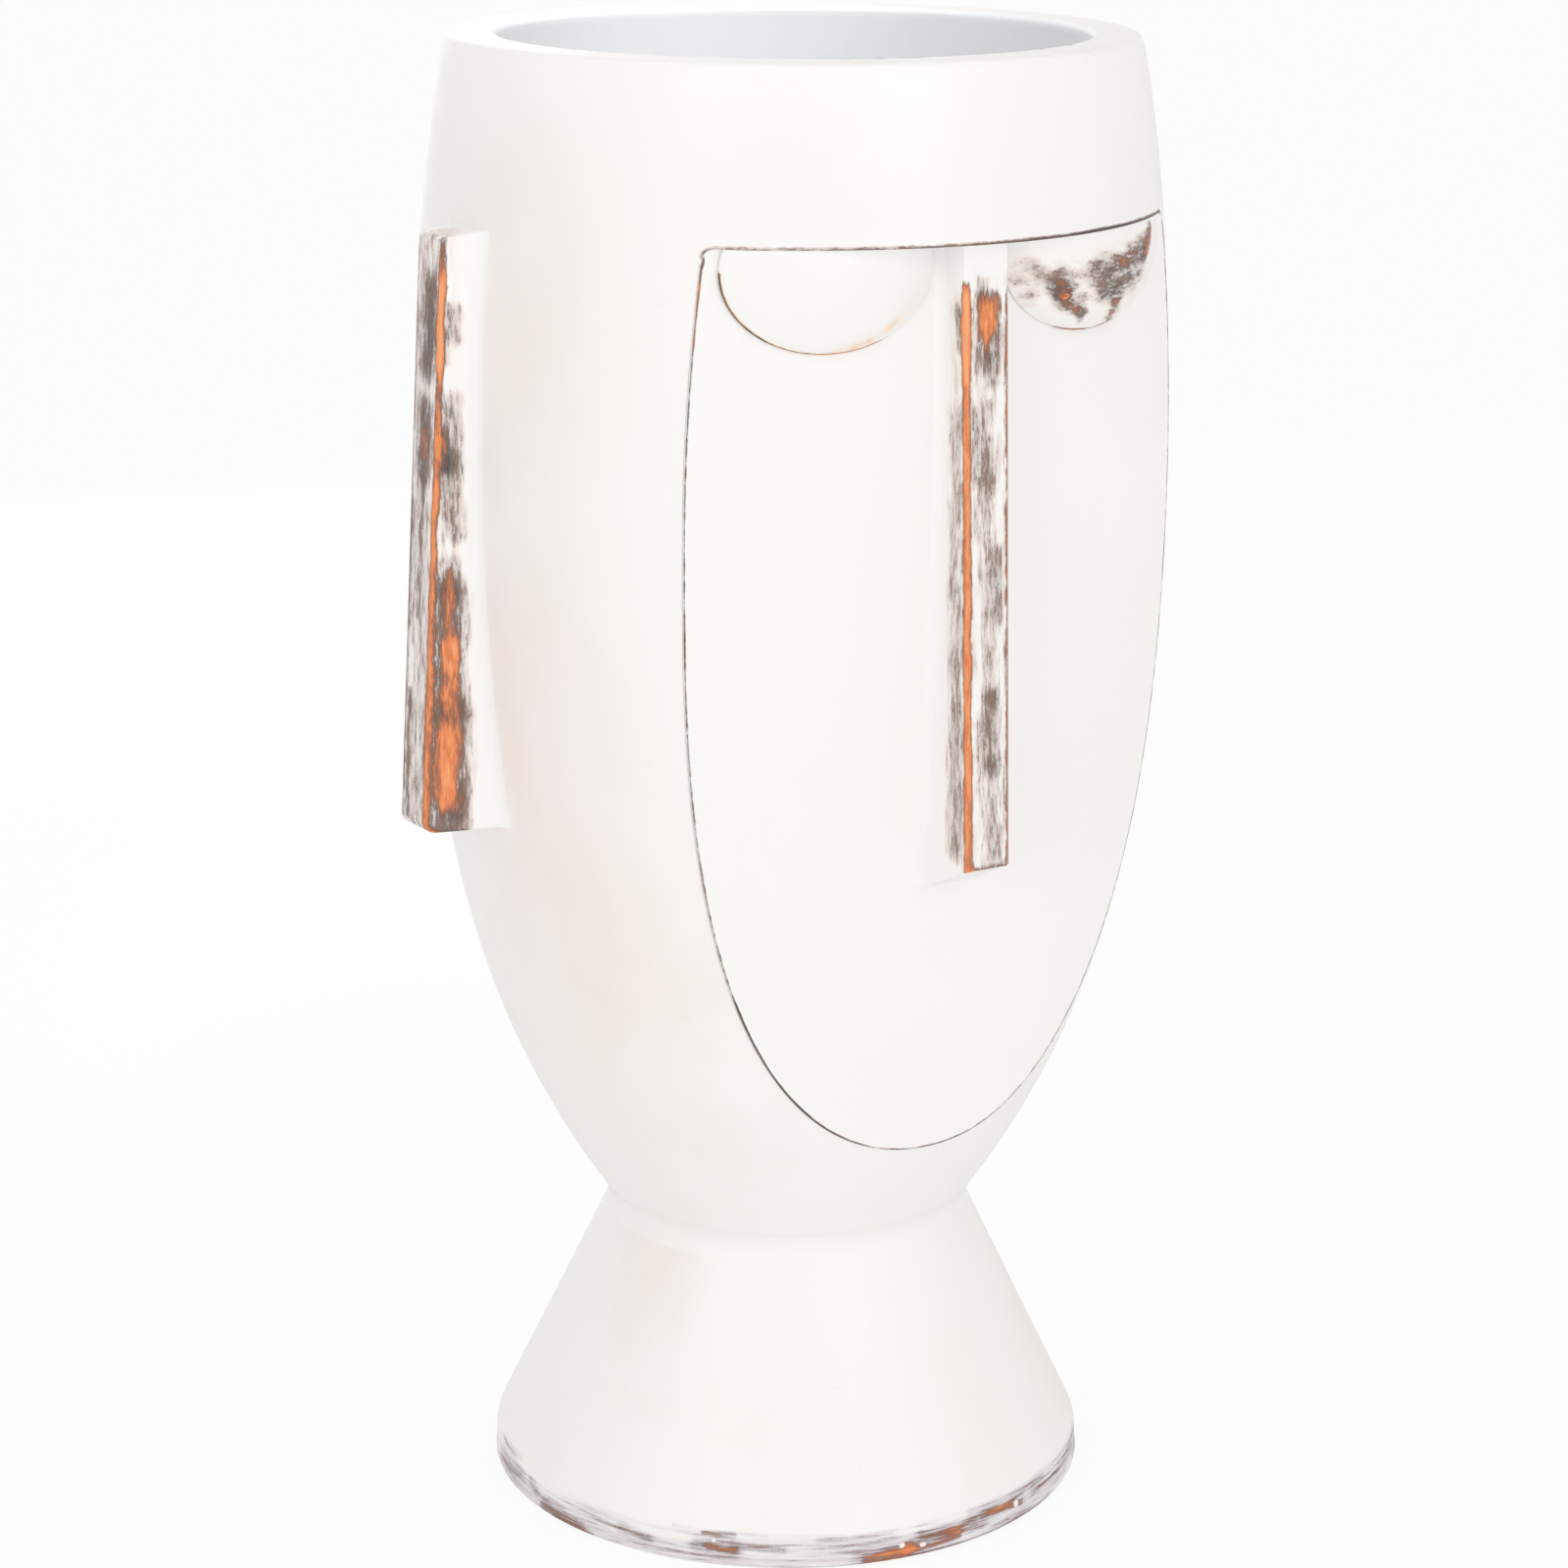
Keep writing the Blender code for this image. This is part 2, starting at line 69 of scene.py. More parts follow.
FOOT_MOUTH_RADIUS = 0.002
TURN_STEPS = 240
CORNER_STEPS = 8
WALL_STEPS = 40
MERGE = 0.00001
ARRIS_ANGLE = radians(28.0)
ARRIS_SPACING = 0.0004
RING_POINTS = 720
HAND_UNEVENNESS = 0.00012
HAND_WAVELENGTH = 0.045


def arc(centre, radius, start, end):
    """Points of a corner in the profile plane, from one angle to the other, both ends included."""
    angles = np.linspace(start, end, CORNER_STEPS + 1)
    return [(centre[0] + radius * cos(a), centre[1] + radius * sin(a)) for a in angles]


def straight(start, end, steps):
    """Points from one place in the profile plane towards another, without the last one."""
    shares = np.linspace(0.0, 1.0, steps, endpoint=False)
    return [(start[0] + (end[0] - start[0]) * s, start[1] + (end[1] - start[1]) * s) for s in shares]


def face_outwards(form):
    """Points the faces of a closed form outwards."""
    bmesh.ops.recalc_face_normals(form, faces=form.faces[:])
    if form.calc_volume(signed=True) < 0.0:
        bmesh.ops.reverse_faces(form, faces=form.faces[:])


def turned(profile):
    """A closed solid of revolution from a profile that starts and ends on the pot's axis."""
    form = bmesh.new()
    points = [form.verts.new((radius, 0.0, height)) for radius, height in profile]
    lines = [form.edges.new(pair) for pair in zip(points, points[1:])]
    bmesh.ops.spin(form, geom=points + lines, cent=(0.0, 0.0, 0.0), axis=(0.0, 0.0, 1.0),
                   angle=2 * pi, steps=TURN_STEPS, use_merge=True)
    bmesh.ops.remove_doubles(form, verts=form.verts[:], dist=MERGE)
    face_outwards(form)
    return form


def by_hand(form):
    """Sinks the surface a little here and there, as a hand-finished cast is, but not at the neck's joint."""
    form.normal_update()
    for vertex in form.verts:
        wave = 0.5 + 0.5 * noise.noise(vertex.co / HAND_WAVELENGTH)
        clear_of_joint = min(abs(vertex.co.z - NECK_HEIGHT) / HAND_WAVELENGTH, 1.0)
        vertex.co -= vertex.normal * HAND_UNEVENNESS * wave * clear_of_joint


def as_object(form, name):
    """The finished mesh as an object, smooth except across its arrises."""
    mesh = bpy.data.meshes.new(name)
    form.to_mesh(mesh)
    form.free()
    piece = bpy.data.objects.new(name, mesh)
    bpy.context.scene.collection.objects.link(piece)
    smooth(piece)
    return piece


def smooth(piece):
    piece.data.shade_smooth()
    piece.data.set_sharp_from_angle(angle=ARRIS_ANGLE)


def between(start, end):
    """Points from one place to another, close enough together to stand for an arris."""
    start, end = Vector(start), Vector(end)
    count = int((end - start).length / ARRIS_SPACING) + 1
    return [start.lerp(end, share) for share in np.linspace(0.0, 1.0, count + 1)]


def note_arris(piece, points):
    """Keeps on each vertex how far it is from the nearest of the points along an arris."""
    tree = KDTree(len(points))
    for index, point in enumerate(points):
        tree.insert(point, index)
    tree.balance()
    reach = piece.data.attributes.new("arris", "FLOAT", "POINT")
    reach.data.foreach_set("value", [tree.find(vertex.co)[2] for vertex in piece.data.vertices])


def seen(red, green, blue):
    """A colour as it is seen, from 0 to 255, turned into the linear colour that a shader takes."""
    shares = [value / 255 for value in (red, green, blue)]
    return (*[s / 12.92 if s <= 0.04045 else ((s + 0.055) / 1.055) ** 2.4 for s in shares], 1.0)


def feed(tree, target, inputs):
    """Feeds a node's inputs: a value given as a socket is linked, and any other is set."""
    for key, value in inputs.items():
        if isinstance(value, bpy.types.NodeSocket):
            tree.links.new(value, target.inputs[key])
        else:
            target.inputs[key].default_value = value


def node(tree, kind, inputs=None, **settings):
    """Adds a shader node with its settings and its inputs."""
    made = tree.nodes.new("ShaderNode" + kind)
    for key, value in settings.items():
        setattr(made, key, value)
    feed(tree, made, inputs or {})
    return made


def new_group(name, inputs, outputs):
    """A shader group with named sockets, what its inputs give, and its output node."""
    group = bpy.data.node_groups.new(name, "ShaderNodeTree")
    for in_out, sockets in (("INPUT", inputs), ("OUTPUT", outputs)):
        for label, kind in sockets.items():
            group.interface.new_socket(name=label, in_out=in_out, socket_type="NodeSocket" + kind)
    return group, group.nodes.new("NodeGroupInput").outputs, group.nodes.new("NodeGroupOutput")


def new_paint(name):
    """A new material, its node tree and its shader."""
    material = bpy.data.materials.new(name)
    material.use_nodes = True
    return material, material.node_tree, material.node_tree.nodes["Principled BSDF"]


# the places of the colour sockets on a Mix node
MIX_FIRST, MIX_SECOND, MIX_RESULT = 6, 7, 2


def ramp(tree, value, low, high):
    """0 up to the low value and 1 from the high value, with a soft step between."""
    inputs = {"Value": value, "From Min": low, "From Max": high}
    return node(tree, "MapRange", inputs, interpolation_type="SMOOTHSTEP").outputs["Result"]


def blend(tree, share, first, second):
    """The first colour where the share is 0 and the second where it is 1."""
    inputs = {0: share, MIX_FIRST: first, MIX_SECOND: second}
    return node(tree, "Mix", inputs, data_type="RGBA").outputs[MIX_RESULT]


def sums(tree, operation, *values):
    return node(tree, "Math", dict(enumerate(values)), operation=operation).outputs[0]


def times(tree, value, share, plus=None):
    """The value times the share, plus a further value where one is given."""
    if plus is None:
        return sums(tree, "MULTIPLY", value, share)
    return sums(tree, "MULTIPLY_ADD", value, share, plus)


def vector(tree, operation, *values):
    """The vector that an operation gives."""
    return node(tree, "VectorMath", dict(enumerate(values)), operation=operation).outputs["Vector"]


def measure(tree, operation, *values):
    """The number that an operation on vectors gives."""
    return node(tree, "VectorMath", dict(enumerate(values)), operation=operation).outputs["Value"]


def scaled(tree, value, scale):
    return node(tree, "VectorMath", {0: value, "Scale": scale}, operation="SCALE").outputs["Vector"]


def grain(tree, place, size, detail=3.0, roughness=0.55):
    """Noise from 0 to 1 whose features are about the given size."""
    inputs = {"Vector": place, "Scale": 1.0 / size, "Detail": detail, "Roughness": roughness}
    return node(tree, "TexNoise", inputs).outputs[0]


PAINT_WHITE = seen(247, 246, 244)
PAINT_CREAM = seen(245, 241, 235)
PAINT_PINK = seen(244, 230, 224)
PAINT_YELLOWED = seen(242, 226, 204)
CREAM_CLOUD = 0.16
PINK_CLOUD = 0.10
STAIN_CLOUD = 0.034
LUMP_SIZE = 0.011
LUMP_HEIGHT = 0.00012
PEEL_SIZE = 0.0016
PEEL_HEIGHT = 0.000012
PIT_SPACING = 0.012
PIT_DEPTH = 0.00012
SHEEN_CLOUD = 0.006


def make_aged_white():
    """Satin white paint, stained faintly warm and pink, with a soft brushed relief and a few pinholes."""
    group, given, out = new_group("aged_white", {"Position": "Vector", "Staining and Shade": "Float"},
                                  {"Color": "Color", "Roughness": "Float", "Height": "Float"})
    place, staining = given["Position"], given["Staining and Shade"]
    # the staining input also carries painted shade, laid on under the brow of the face panel
    cream = ramp(group, grain(group, place, CREAM_CLOUD, 2.0), 0.30, 0.70)
    pink = ramp(group, grain(group, place, PINK_CLOUD, 3.0), 0.25, 0.85)
    stain = ramp(group, grain(group, place, STAIN_CLOUD, 4.0, 0.6), 0.62, 0.90)
    colour = blend(group, times(group, cream, staining), PAINT_WHITE, PAINT_CREAM)
    colour = blend(group, times(group, pink, staining), colour, PAINT_PINK)
    colour = blend(group, times(group, stain, staining), colour, PAINT_YELLOWED)
    lumps = times(group, grain(group, place, LUMP_SIZE, 2.0), LUMP_HEIGHT)
    relief = times(group, grain(group, place, PEEL_SIZE, 2.0), PEEL_HEIGHT, lumps)
    pits = node(group, "TexVoronoi", {"Vector": place, "Scale": 1 / PIT_SPACING}).outputs["Distance"]
    relief = times(group, ramp(group, pits, 0.045, 0.02), -PIT_DEPTH, relief)
    sheen = times(group, grain(group, place, SHEEN_CLOUD, 3.0), 0.16, 0.34)
    feed(group, out, {"Color": colour, "Roughness": sheen, "Height": relief})
    return group


def make_rub_stroke():
    """One stroke of the sanding block: full in the middle, and gone at its half width."""
    inputs = {"Before": "Float", "Position": "Vector", "From": "Vector", "To": "Vector",
              "Half Width": "Float", "Strength": "Float"}
    group, given, out = new_group("rub_stroke", inputs, {"After": "Float"})
    along = vector(group, "SUBTRACT", given["To"], given["From"])
    reach = vector(group, "SUBTRACT", given["Position"], given["From"])
    share = sums(group, "DIVIDE", measure(group, "DOT_PRODUCT", reach, along),
                 measure(group, "DOT_PRODUCT", along, along))
    step = scaled(group, along, node(group, "Clamp", {"Value": share}).outputs[0])
    mark = ramp(group, measure(group, "DISTANCE", reach, step), given["Half Width"], 0.0)
    feed(group, out, {"After": times(group, mark, given["Strength"], given["Before"])})
    return group


UMBER_COLD = seen(90, 78, 74)
UMBER_WARM = seen(134, 104, 88)
BROWN_DEEP = seen(66, 52, 46)
BROWN_EDGE = seen(110, 82, 68)
COPPER = seen(178, 104, 70)
ORANGE_DULL = seen(214, 116, 66)
ORANGE = seen(240, 146, 88)
# a pale orange painted as the glossy highlight along the barest arrises
ORANGE_PAINTED_HIGHLIGHT = seen(247, 172, 116)
COAT_ROUGHNESS = 0.5
ORANGE_ROUGHNESS = 0.24
PAINT_THICKNESS = 0.00006
FLECK_SIZE = 0.0008
LONG_BRISTLE = 0.40
PATCH_BRISTLES = 5.0


def make_rubbed_through():
    """Paint rubbed away: haze, then soft bristle marks of the dark coats, then copper and bare orange with a
    painted highlight.
    """
    inputs = {"Rubbing": "Float", "Bare": "Float", "Position": "Vector", "Bristles": "Vector",
              "Blush": "Color", "Haze": "Color", "Color": "Color", "Roughness": "Float", "Height": "Float"}
    outputs = {"Color": "Color", "Roughness": "Float", "Height": "Float"}
    group, given, out = new_group("rubbed_through", inputs, outputs)

    def uneven(place, size, detail, roughness=0.55):
        return sums(group, "SUBTRACT", grain(group, place, size, detail, roughness), 0.5)

    rubbing, bare, bristles = given["Rubbing"], given["Bare"], given["Bristles"]
    short = uneven(bristles, 1.0, 4.0, 0.7)
    long = uneven(scaled(group, bristles, LONG_BRISTLE), 1.0, 5.0, 0.7)
    patch = uneven(bristles, PATCH_BRISTLES, 3.0)
    fleck = uneven(given["Position"], FLECK_SIZE, 2.0)

    broken = times(group, short, 1.3, times(group, patch, 1.1))
    broken = times(group, fleck, 0.4, times(group, long, 1.6, broken))
    touched = ramp(group, rubbing, 0.02, 0.26)
    level = times(group, broken, touched, rubbing)
    dark = times(group, ramp(group, level, 0.30, 0.92), 0.92)
    deep = times(group, ramp(group, level, 0.95, 1.50), 0.80)
    soft = times(group, times(group, long, 0.4, patch), touched, rubbing)
    blush = times(group, ramp(group, soft, 0.03, 0.28), 0.50)
    haze = times(group, ramp(group, soft, 0.06, 0.50), 0.78)

    scraped = times(group, long, 1.2, times(group, short, 0.7, times(group, patch, 0.6)))
    worn = times(group, scraped, ramp(group, bare, 0.0, 0.3), bare)
    border = times(group, ramp(group, worn, 0.14, 0.40), 0.80)
    copper = times(group, ramp(group, worn, 0.30, 0.56), 0.85)
    bright = ramp(group, worn, 0.46, 0.86)
    # painted highlight: where the orange is barest it turns paler, standing in for the glint on the rounded
    # arris
    painted_highlight = times(group, ramp(group, worn, 0.95, 1.35), 0.70)

    umber = blend(group, ramp(group, patch, -0.12, 0.14), UMBER_COLD, UMBER_WARM)
    orange = blend(group, ramp(group, long, -0.18, 0.12), ORANGE_DULL, ORANGE)
    colour = given["Color"]
    for share, coat in ((blush, given["Blush"]), (haze, given["Haze"]),
                        (dark, umber), (deep, BROWN_DEEP), (border, BROWN_EDGE),
                        (copper, COPPER), (bright, orange), (painted_highlight, ORANGE_PAINTED_HIGHLIGHT)):
        colour = blend(group, share, colour, coat)
    sheen = blend(group, dark, given["Roughness"], (COAT_ROUGHNESS,) * 4)
    sheen = blend(group, bright, sheen, (ORANGE_ROUGHNESS,) * 4)
    height = times(group, sums(group, "MAXIMUM", dark, border), -PAINT_THICKNESS, given["Height"])
    feed(group, out, {"Color": colour, "Roughness": sheen, "Height": height})
    return group


AGED_WHITE = make_aged_white()
RUB_STROKE = make_rub_stroke()
RUBBED_THROUGH = make_rubbed_through()


def strokes(tree, place, laid, total):
    """Adds strokes to a first value; each is where it starts, where it ends, its half width and strength."""
    for begin, end, half_width, strength in laid:
        inputs = {"Before": total, "Position": place, "From": begin, "To": end,
                  "Half Width": half_width, "Strength": strength}
        total = node(tree, "Group", inputs, node_tree=RUB_STROKE).outputs["After"]
    return total


def round_coordinates(tree, place):
    """Position as (way round the pot, distance from its axis, height), for marks that run round it."""
    parts = node(tree, "SeparateXYZ", {"Vector": place}).outputs
    angle = sums(tree, "ARCTAN2", parts["X"], times(tree, parts["Y"], -1.0))
    flat = node(tree, "CombineXYZ", {"X": parts["X"], "Y": parts["Y"]}).outputs[0]
    unrolled = {"X": times(tree, angle, FOOT_RADIUS), "Y": measure(tree, "LENGTH", flat), "Z": parts["Z"]}
    return node(tree, "CombineXYZ", unrolled).outputs[0]


def rubbed_paint(name, bristle_size, rubs=(), bares=(), stains_and_shade=(), staining=0.5, line=None,
                 blush=(249, 232, 217), haze=(206, 195, 192), round_the_pot=False):
    """White paint, rubbed in strokes and along the arris.

    The size of a bristle mark is along X, Y and Z. A line is its width, how dark it is, strokes that add
    to that, how bare it is, and strokes that add to that. Marks round the pot lie on it as if unrolled.
    """
    material, tree, shader = new_paint(name)
    place = node(tree, "TexCoord").outputs["Object"]
    laid_out = round_coordinates(tree, place) if round_the_pot else place
    scale = [1.0 / size for size in bristle_size]
    bristles = node(tree, "Mapping", {"Vector": laid_out, "Scale": scale}, vector_type="POINT").outputs[0]
    rubbing = strokes(tree, laid_out, rubs, 0.0)
    bare = strokes(tree, laid_out, bares, 0.0)
    if line:
        width, dark, dark_marks, bright, bright_marks = line
        reach = node(tree, "Attribute", attribute_name="arris").outputs["Fac"]
        along = ramp(tree, reach, width, 0.0)
        rubbing = times(tree, along, strokes(tree, laid_out, dark_marks, dark), rubbing)
        bare = times(tree, along, strokes(tree, laid_out, bright_marks, bright), bare)
    # the stains can include painted shade, such as the warm band under the brow
    inputs = {"Position": place, "Staining and Shade": strokes(tree, laid_out, stains_and_shade, staining)}
    white = node(tree, "Group", inputs, node_tree=AGED_WHITE)
    inputs = {"Rubbing": rubbing, "Bare": bare, "Position": place, "Bristles": bristles,
              "Blush": seen(*blush), "Haze": seen(*haze)}
    inputs.update({key: white.outputs[key] for key in ("Color", "Roughness", "Height")})
    worn = node(tree, "Group", inputs, node_tree=RUBBED_THROUGH).outputs
    relief = node(tree, "Bump", {"Height": worn["Height"], "Distance": 1.0}).outputs["Normal"]
    feed(tree, shader, {"Base Color": worn["Color"], "Roughness": worn["Roughness"], "Normal": relief})
    return material


def cone_radius(height):
    """Outer radius of the foot's cone at a height."""
    shoulder = FOOT_RADIUS - FOOT_BAND_LEAN
    share = (height - FOOT_BAND_HEIGHT) / (NECK_HEIGHT - FOOT_BAND_HEIGHT)
    return shoulder + (NECK_RADIUS - shoulder) * share


def foot_profile():
    flare = atan2(FOOT_RADIUS - NECK_RADIUS, NECK_HEIGHT - FOOT_BAND_HEIGHT)
    wall_across = FOOT_WALL / cos(flare)
    above = FOOT_BAND_HEIGHT + SHOULDER_RADIUS
    start = Vector((cone_radius(above), above, 0.0))
    corner = Vector((FOOT_RADIUS - FOOT_BAND_LEAN, FOOT_BAND_HEIGHT, 0.0))
    end = Vector((FOOT_RADIUS - FOOT_BAND_LEAN, FOOT_BAND_HEIGHT - SHOULDER_RADIUS, 0.0))
    shoulder = interpolate_bezier(start, corner, corner, end, 2 * CORNER_STEPS)
    cone = straight((cone_radius(FOOT_TOP), FOOT_TOP), (cone_radius(above), above), WALL_STEPS)
    outside = [(0.0, FOOT_TOP)] + cone + [(point.x, point.y) for point in shoulder]
    outside += arc((FOOT_RADIUS - FOOT_EDGE_RADIUS, FOOT_EDGE_RADIUS), FOOT_EDGE_RADIUS, 0.0, -pi / 2)
    mouth = FOOT_RADIUS - FOOT_WALL
    inside = arc((mouth + FOOT_MOUTH_RADIUS, FOOT_MOUTH_RADIUS), FOOT_MOUTH_RADIUS, -pi / 2, -pi)
    base = (cone_radius(FOOT_BAND_HEIGHT) - wall_across, FOOT_BAND_HEIGHT)
    top = (cone_radius(FOOT_CEILING) - wall_across, FOOT_CEILING)
    return outside + inside + straight(base, top, WALL_STEPS) + [top, (0.0, FOOT_CEILING)]


def on_band(degrees_round, height, radius=FOOT_RADIUS):
    """A place on the unrolled foot; 0 degrees is below the face, and the angle grows towards +X."""
    return (FOOT_RADIUS * radians(degrees_round), radius, height)


def marks(place, rows, *side):
    """Marks from rows of where each starts, where it ends, its half width and its strength."""
    return [(place(*side, *row[0:2]), place(*side, *row[2:4]), row[4], row[5]) for row in rows]


foot_form = turned(foot_profile())
by_hand(foot_form)
foot_piece = as_object(foot_form, "foot_cast")
ring = np.linspace(0.0, 2 * pi, RING_POINTS, endpoint=False)
note_arris(foot_piece, [(FOOT_RADIUS * sin(a), -FOOT_RADIUS * cos(a), 0.0) for a in ring])
BAND_RUBS = marks(on_band, [
    (-106, 0.0125, -97, 0.0100, 0.0130, 0.26),
    (-91, 0.0115, -89, 0.0088, 0.0050, 0.27),
    (-86, 0.0040, -75, 0.0020, 0.0055, 0.31),
    (-65, 0.0088, -59, 0.0082, 0.0045, 0.27),
    (-112, 0.0090, 64, 0.0090, 0.0120, 0.18),
    (-54, 0.0168, -36, 0.0164, 0.0022, 0.46),
    (-49, 0.0087, -42, 0.0084, 0.0065, 0.31),
    (-42, 0.0115, -33, 0.0095, 0.0036, 0.23),
    (-36, 0.0166, -22, 0.0163, 0.0018, 0.34),
    (-26, 0.0130, -12, 0.0130, 0.0040, 0.19),
    (-18, 0.0040, 0, 0.0060, 0.0080, 0.27),
    (-6, 0.0108, 8, 0.0097, 0.0065, 0.23),
    (5, 0.0150, 27, 0.0138, 0.0034, 0.32),
    (9, 0.0112, 19, 0.0090, 0.0060, 0.23),
    (24, 0.0120, 50, 0.0125, 0.0080, 0.26),
    (-14, 0.0004, 52, 0.0004, 0.0030, 0.36),
    (58, 0.0120, 84, 0.0130, 0.0080, 0.24),
    (100, 0.0100, 146, 0.0120, 0.0080, 0.21),
    (156, 0.0120, 170, 0.0090, 0.0080, 0.23),
    (-168, 0.0090, -150, 0.0110, 0.0080, 0.23),
    (-140, 0.0080, -118, 0.0120, 0.0080, 0.21),
    (-10.2, 0.0071, -10.0, 0.0071, 0.0016, -2.0),
    (-6.0, 0.0056, -5.6, 0.0056, 0.0014, -2.0),
    (17.4, 0.0096, 17.6, 0.0090, 0.0020, -2.0),
    (-46.0, 0.0122, -45.8, 0.0122, 0.0012, -2.0),
])
BAND_BARES = marks(on_band, [
    (-83, 0.0008, -72, 0.0008, 0.0032, 0.48),
    (-48, 0.0160, -42, 0.0155, 0.0030, 0.48),
    (-47, 0.0086, -42, 0.0084, 0.0048, 0.52),
    (-17, 0.0028, -9, 0.0050, 0.0064, 0.55),
    (-9, 0.0050, 2, 0.0060, 0.0054, 0.46),
    (-6, 0.0108, 6, 0.0100, 0.0046, 0.30),
    (10, 0.0110, 19, 0.0090, 0.0044, 0.48),
    (26, 0.0110, 46, 0.0120, 0.0060, 0.26),
    (-12, 0.0003, 48, 0.0003, 0.0026, 0.42),
    (120, 0.0060, 130, 0.0070, 0.0060, 0.48),
    (-162, 0.0050, -154, 0.0050, 0.0060, 0.52),
    (-10.2, 0.0071, -10.0, 0.0071, 0.0016, -2.0),
    (-6.0, 0.0056, -5.6, 0.0056, 0.0014, -2.0),
    (17.4, 0.0096, 17.6, 0.0090, 0.0020, -2.0),
])
FOOT_STAINS = [
    (on_band(-70, 0.030), on_band(-75, 0.120, NECK_RADIUS), 0.080, 0.5),
    (on_band(60, 0.020), on_band(58, 0.120, NECK_RADIUS), 0.060, 0.4),
]
BAND_LINE = (0.0210, 0.22, (), 0.0, ())
foot_piece.data.materials.append(rubbed_paint(
    "foot_paint", (0.0110, 0.0012, 0.0006), BAND_RUBS, BAND_BARES, FOOT_STAINS, 0.25, BAND_LINE,
    blush=(241, 236, 241), haze=(206, 198, 204), round_the_pot=True))
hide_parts("foot")
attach(foot_piece, "root")

# The mortar bed
# A thin bed of mortar joins the foot and the head. It is pointed to a small hollow cove at the neck, and
# painted over with them.
BED_THICKNESS = 0.003
COVE_REACH = 0.007
COVE_TIP = 0.00003
COVE_STEPS = 16
COVE_HANDLE = 2 / 3
SEAM = 0.00015


def wall_curve(points_below, points_above):
    """The outer side of the head from the neck up to the rim, as two curved spans joined at the belly."""
    neck = Vector((NECK_RADIUS, 0.0, NECK_HEIGHT))
    neck_handle = neck + NECK_PULL * Vector((sin(NECK_LEAN), 0.0, cos(NECK_LEAN)))
    belly = Vector((BELLY_RADIUS, 0.0, BELLY_HEIGHT))
    below_handle = belly - Vector((0.0, 0.0, BELLY_PULL_DOWN))
    above_handle = belly + Vector((0.0, 0.0, BELLY_PULL_UP))
    rim = Vector((RIM_RADIUS, 0.0, TOTAL_HEIGHT))
    below = interpolate_bezier(neck, neck_handle, below_handle, belly, points_below)
    above = interpolate_bezier(belly, above_handle, rim, rim, points_above)
    return [(point.x, point.z) for point in below + above[1:]]


BELLY_RADIUS = HEAD_HIGH.x
TOTAL_HEIGHT = HEAD_HIGH.z
RIM_RADIUS = 0.150
BELLY_HEIGHT = 0.473
NECK_LEAN = radians(35.0)
NECK_PULL = 0.092
BELLY_PULL_DOWN = 0.186
BELLY_PULL_UP = 0.123
WALL_POINTS = wall_curve(points_below=90, points_above=60)
WALL_HEIGHTS = [point[1] for point in WALL_POINTS]
WALL_RADII = [point[0] for point in WALL_POINTS]


def wall_radius(height):
    """Outer radius of the head at a height."""
    return float(np.interp(height, WALL_HEIGHTS, WALL_RADII))


def bed_profile():
    half = BED_THICKNESS / 2 - SEAM
    upper = NECK_HEIGHT + COVE_REACH
    lower = NECK_HEIGHT - COVE_REACH
    corner = Vector((NECK_RADIUS + COVE_TIP, NECK_HEIGHT, 0.0))
    above = Vector((wall_radius(upper) + COVE_TIP, upper, 0.0))
    below = Vector((cone_radius(lower) + COVE_TIP, lower, 0.0))
    cove = interpolate_bezier(above, above.lerp(corner, COVE_HANDLE), below.lerp(corner, COVE_HANDLE), below,
                              COVE_STEPS)
    top = [(0.0, NECK_HEIGHT + half), (wall_radius(HEAD_LOW.z), NECK_HEIGHT + half)]
    bottom = [(cone_radius(FOOT_TOP), NECK_HEIGHT - half), (0.0, NECK_HEIGHT - half)]
    return top + [(point.x, point.y) for point in cove] + bottom


bed_piece = as_object(turned(bed_profile()), "neck_mortar")
bed_piece.data.materials.append(rubbed_paint("mortar_paint", (0.01, 0.01, 0.01), staining=0.25))
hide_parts("neck_bed")
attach(bed_piece, "root")

# The head
# The hollow head is turned on its axis, pushed in behind the face and cut back under the brow, where the
# face panel is bedded in a pocket. Its arris along the brow is rubbed dark, and the inside and the brow's
# underside keep a plain white coat, a little whiter than the outside as painted light against their shade.
SHELL_WALL = 0.0215
FLOOR_THICKNESS = 0.032
FLOOR_HEIGHT = HEAD_LOW.z + FLOOR_THICKNESS
FLOOR_CORNER_RADIUS = 0.014
RIM_EDGE_RADIUS = 0.0025
FOREHEAD_HEIGHT = 0.0725
BROW_HEIGHT = TOTAL_HEIGHT - FOREHEAD_HEIGHT
FACE_LENGTH = 0.401
CHIN_HEIGHT = BROW_HEIGHT - FACE_LENGTH
FACE_WIDEST_HEIGHT = BROW_HEIGHT - 0.118
FACE_HALF_WIDTH = 0.1215
BROW_DRAW_IN = 0.0084
FACE_LENGTH_POWER = 2.6
FACE_WIDTH_POWER = 2.2
FACE_BOW_RADIUS = 0.350
FACE_CORNER_RADIUS = 0.004
FACE_EDGE_MARGIN = 0.0015
FACE_STANDS_PROUD = 0.0008
TILE_THICKNESS = 0.012
BACKING_WALL = 0.014
LEDGE_THICKNESS = 0.018
OUTLINE_STEPS = 90
RELIEF_COLUMNS = 40
RELIEF_ROWS = 60
CLEAR_OF_ALL = 2 * BELLY_RADIUS
ARRIS_FRONT = -0.1
TURNED_INWARDS = -0.2
NEARLY_LEVEL = 0.9


def face_half_width(height):
    """Half the width of the face at a height: nearly straight above its widest place, round below."""
    if height >= FACE_WIDEST_HEIGHT:
        rise = (height - FACE_WIDEST_HEIGHT) / (BROW_HEIGHT - FACE_WIDEST_HEIGHT)
        return FACE_HALF_WIDTH - BROW_DRAW_IN * rise ** 2
    fall = (FACE_WIDEST_HEIGHT - height) / (FACE_WIDEST_HEIGHT - CHIN_HEIGHT)
    return FACE_HALF_WIDTH * (1.0 - fall ** FACE_LENGTH_POWER) ** (1.0 / FACE_WIDTH_POWER)


